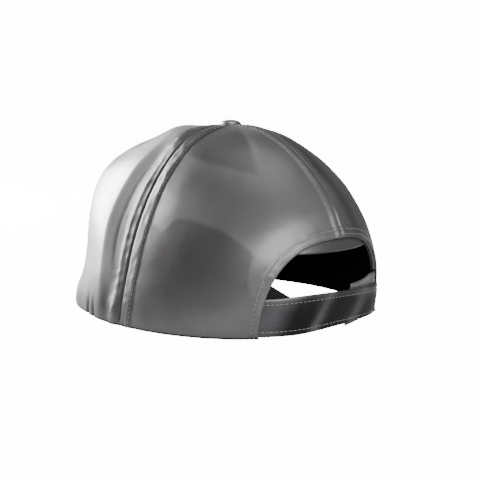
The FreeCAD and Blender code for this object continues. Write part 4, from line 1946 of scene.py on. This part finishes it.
@dataclass
class TopButton:
    """Satin-covered button at the apex."""

    radius: float = 0.0070
    height: float = 0.0022
    base: float = 0.1169
    skirt: float = 0.0012
    pleats: int = 14
    pleat_depth: float = 0.00018
    brightness: float = 0.22

    def build(self, wardrobe: Wardrobe) -> bpy.types.Object:
        """Makes the cover: a low dome, gathered under its edge.

        Args:
            wardrobe: The cap's finishes.

        Returns:
            The cover.
        """
        bpy.ops.object.select_all(action="DESELECT")
        bpy.ops.mesh.primitive_uv_sphere_add(segments=84, ring_count=44, radius=self.radius)
        cover = bpy.context.object
        cover.name = "button_cloth"
        bpy.ops.object.mode_set(mode="EDIT")
        bpy.ops.mesh.select_all(action="SELECT")
        bpy.ops.transform.resize(value=(1.0, 1.0, (self.height + 0.0008) / self.radius))
        bpy.ops.mesh.bisect(plane_co=(0.0, 0.0, -self.skirt), plane_no=(0.0, 0.0, 1.0), clear_inner=True,
                            use_fill=True)
        bpy.ops.object.mode_set(mode="OBJECT")
        for vertex in cover.data.vertices:
            x, y, z = vertex.co
            around = math.atan2(y, x)
            out = math.hypot(x, y) / self.radius
            pleat = self.pleat_depth * math.sin(around * self.pleats) * max(0.0, out - 0.75) * 4.0
            vertex.co = (x, y + CROWN.apex_back, z + self.base - pleat * 0.4)
        points, faces = settled(cover.data)
        cover.data.clear_geometry()
        cover.data.from_pydata(points, [], faces)
        layer = cover.data.uv_layers.new(name="weave")
        for loop in cover.data.loops:
            point = cover.data.vertices[loop.vertex_index].co
            layer.data[loop.index].uv = (point.x, point.y)
        tone = cover.data.attributes.new("tone", "FLOAT", "POINT")
        tone.data.foreach_set("value", [self.brightness] * len(cover.data.vertices))
        cover.data.shade_smooth()
        finish_piece(cover, wardrobe.satin, "crown")
        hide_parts("button_cover")
        return cover


@dataclass
class CareLabel:
    """Blank woven label hanging inside the left side, and the folded strip it is sewn into."""

    top: float = 0.029
    drop: float = 0.020
    width: float = 0.026
    wall: float = 0.0765
    thickness: float = 0.0004
    strip: tuple[float, float] = (0.0310, 0.0326)
    strip_thickness: float = 0.0017
    stitch_level: float = 0.0318
    reach: float = 0.103

    def build(self, wardrobe: Wardrobe, stitching: Stitching) -> list[bpy.types.Object]:
        """Makes the leaf, its strip and the stitches between them.

        Args:
            wardrobe: The cap's finishes.
            stitching: The shared stitch.

        Returns:
            The leaf, the strip and the stitch row.
        """
        along = np.linspace(-0.5, 0.5, 40)[None, :].repeat(34, axis=0) * self.width
        fall = np.linspace(0.0, self.drop, 34)[:, None].repeat(40, axis=1)
        wave = 0.00010 * np.sin(fall / 0.005) + 0.00008 * np.sin(along / 0.006)
        centre = self.wall + 0.00002
        points = np.stack([centre + wave, CROWN.apex_back + along, self.top - fall], axis=-1)
        away = np.array([self.thickness * 0.32, 0.0, 0.0])
        edge = 0.35 + 0.5 * smooth((self.width / 2.0 - np.abs(along) - 0.0012) / 0.0004)
        leaf = Cloth.shell("care_label_leaf", points + away, points - away,
                           np.stack([along, fall], axis=-1), edge)
        finish_piece(leaf, wardrobe.label, "care_label")
        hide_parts("care_label")
        half = math.degrees(self.width / 2.0 / self.reach)
        low, high = (float(CROWN.lift_at(level)) for level in self.strip)
        side = Seam.LEFT.value
        turn, lift = rectangle(side - half, side + half, low, high, 30, 8)
        strip = Cloth.follow("care_label_strip", turn, lift, (LAYERS.full + 0.0001, self.strip_thickness),
                             None, np.full(turn.shape, 0.7))
        finish_piece(strip, wardrobe.label, "crown")
        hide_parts("care_label_root")
        line = np.linspace(side - half * 0.92, side + half * 0.92, 60)
        at = CROWN.lift_at(np.full(60, self.stitch_level))
        row = stitching.row("care_label_thread", CROWN.place(line, at, -LAYERS.full - 0.0018),
                            -CROWN.outward(line, at), 0.2)
        finish_piece(row, wardrobe.light_thread, "crown")
        return [leaf, strip, row]


@dataclass
class Studio:
    """Pale floor, soft lights and the camera."""

    camera_place: tuple[float, float, float] = (0.39863, 0.44838, 0.13144)
    camera_aim: tuple[float, float, float] = (-0.00443, 0.01293, 0.04242)
    lens: float = 69.2
    floor_size: float = 8.0
    floor_level: float = -0.0002
    backdrop: float = 14.0
    ambient: float = 0.13

    def light(self, name: str, place: tuple[float, float, float], size: tuple[float, float],
              power: float, aim: tuple[float, float, float] = (0.0, 0.0, 0.06)) -> None:
        """Adds a soft rectangular light.

        Args:
            name: The light's name.
            place: Its place in metres.
            size: Its width and height.
            power: Its power in watts.
            aim: The point it faces.
        """
        lamp = bpy.data.lights.new(name, "AREA")
        lamp.shape = "RECTANGLE"
        lamp.size, lamp.size_y = size
        lamp.energy = power
        holder = bpy.data.objects.new(name, lamp)
        bpy.context.scene.collection.objects.link(holder)
        holder.location = place
        holder.rotation_euler = (Vector(aim) - Vector(place)).to_track_quat("-Z", "Y").to_euler()

    def floor(self) -> None:
        """Adds the pale floor, lit from within for the eye but not for the cap."""
        bpy.ops.object.select_all(action="DESELECT")
        bpy.ops.mesh.primitive_plane_add(size=self.floor_size, location=(0.0, 0.0, self.floor_level))
        ground = bpy.context.object
        ground.name = "floor"
        paper, shop, shader = new_material("floor_paper")
        shader.inputs["Base Color"].default_value = (0.55, 0.55, 0.55, 1.0)
        shader.inputs["Roughness"].default_value = 0.9
        shader.inputs["Emission Color"].default_value = (1.0, 1.0, 1.0, 1.0)
        seen = shop.add("ShaderNodeLightPath").outputs["Is Camera Ray"]
        shop.link(shop.math("MULTIPLY", seen, self.backdrop), shader.inputs["Emission Strength"])
        ground.data.materials.append(paper)

    def air(self) -> None:
        """Adds the surrounding light: white to the eye, soft grey on the cap."""
        world = bpy.data.worlds.new("studio_air")
        world.use_nodes = True
        shop = NodeShop(world.node_tree)
        sky = world.node_tree.nodes["Background"]
        sky.inputs["Color"].default_value = (1.0, 1.0, 1.0, 1.0)
        seen = shop.add("ShaderNodeLightPath").outputs["Is Camera Ray"]
        glow = shop.math("ADD", shop.math("MULTIPLY", seen, self.backdrop), self.ambient)
        shop.link(glow, sky.inputs["Strength"])
        bpy.context.scene.world = world

    def build(self) -> None:
        """Sets the stage."""
        self.floor()
        self.air()
        self.light("key_front_left", (0.30, -1.15, 0.45), (0.6, 0.7), 66.0)
        self.light("fill_behind", (0.40, 1.0, 0.55), (0.9, 0.5), 10.0)
        self.light("top_soft", (-0.1, 0.1, 1.1), (0.7, 0.7), 2.0)
        camera = bpy.data.cameras.new("camera")
        camera.lens = self.lens
        camera.sensor_width = 36.0
        camera.clip_start = 0.01
        holder = bpy.data.objects.new("camera", camera)
        bpy.context.scene.collection.objects.link(holder)
        holder.location = self.camera_place
        aim = Vector(self.camera_aim) - Vector(self.camera_place)
        holder.rotation_euler = aim.to_track_quat("-Z", "Y").to_euler()
        bpy.context.scene.camera = holder


class Cap:
    """The whole cap, built sub-assembly by sub-assembly."""

    def __init__(self) -> None:
        """Makes the shared finishes and the stitch."""
        self.wardrobe = Wardrobe()
        self.stitching = Stitching()

    def carried_over(self) -> None:
        """Gives the nodes that stay as they are their materials."""
        for node, finish in (("front_left_stiffener", self.wardrobe.buckram),
                             ("front_right_stiffener", self.wardrobe.buckram),
                             ("button_shell", self.wardrobe.metal),
                             ("button_washer", self.wardrobe.metal)):
            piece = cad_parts[node]
            piece.data.materials.clear()
            piece.data.materials.append(finish)

    def build(self) -> None:
        """Builds every sub-assembly in order and logs its pieces."""
        panels = {quarter: CrownPanel(quarter) for quarter in Quarter}
        jobs: list[tuple[str, Callable[[], object]]] = []
        for quarter, panel in panels.items():
            jobs.append((f"{quarter.label} panel", lambda panel=panel: panel.build(self.wardrobe)))
            lining = LiningPanel(quarter)
            jobs.append((f"{quarter.label} lining", lambda lining=lining: lining.build(self.wardrobe)))
        for seam in Seam:
            tape = SeamTape(seam, 0.0702 if seam is Seam.BACK else LAYERS.rim_low)
            jobs.append((f"{seam.name} tape",
                         lambda tape=tape: tape.build(self.wardrobe, self.stitching)))
        jobs += [
            ("opening facing", lambda: OpeningFacing().build(self.wardrobe)),
            ("arch roll", lambda: ArchRoll().build(panels, self.wardrobe)),
            ("sweatband", lambda: Sweatband().build(self.wardrobe, self.stitching)),
            ("rim binding", lambda: RimBinding().build(panels, self.wardrobe)),
            ("long strap", lambda: LongStrap().build(self.wardrobe, self.stitching)),
            ("short tab", lambda: ShortTab().build(self.wardrobe, self.stitching)),
            ("topstitching", lambda: TopStitching(panels).build(self.wardrobe, self.stitching)),
            ("button", lambda: TopButton().build(self.wardrobe)),
            ("care label", lambda: CareLabel().build(self.wardrobe, self.stitching)),
            ("carried-over nodes", self.carried_over),
        ]
        for name, job in jobs:
            job()
            LOG.info("built %s", name)


def main() -> None:
    """Builds the cap and the studio."""
    logging.basicConfig(level=logging.INFO, format="%(name)s: %(message)s")
    Cap().build()
    Studio().build()


if __name__ == "__main__":
    main()
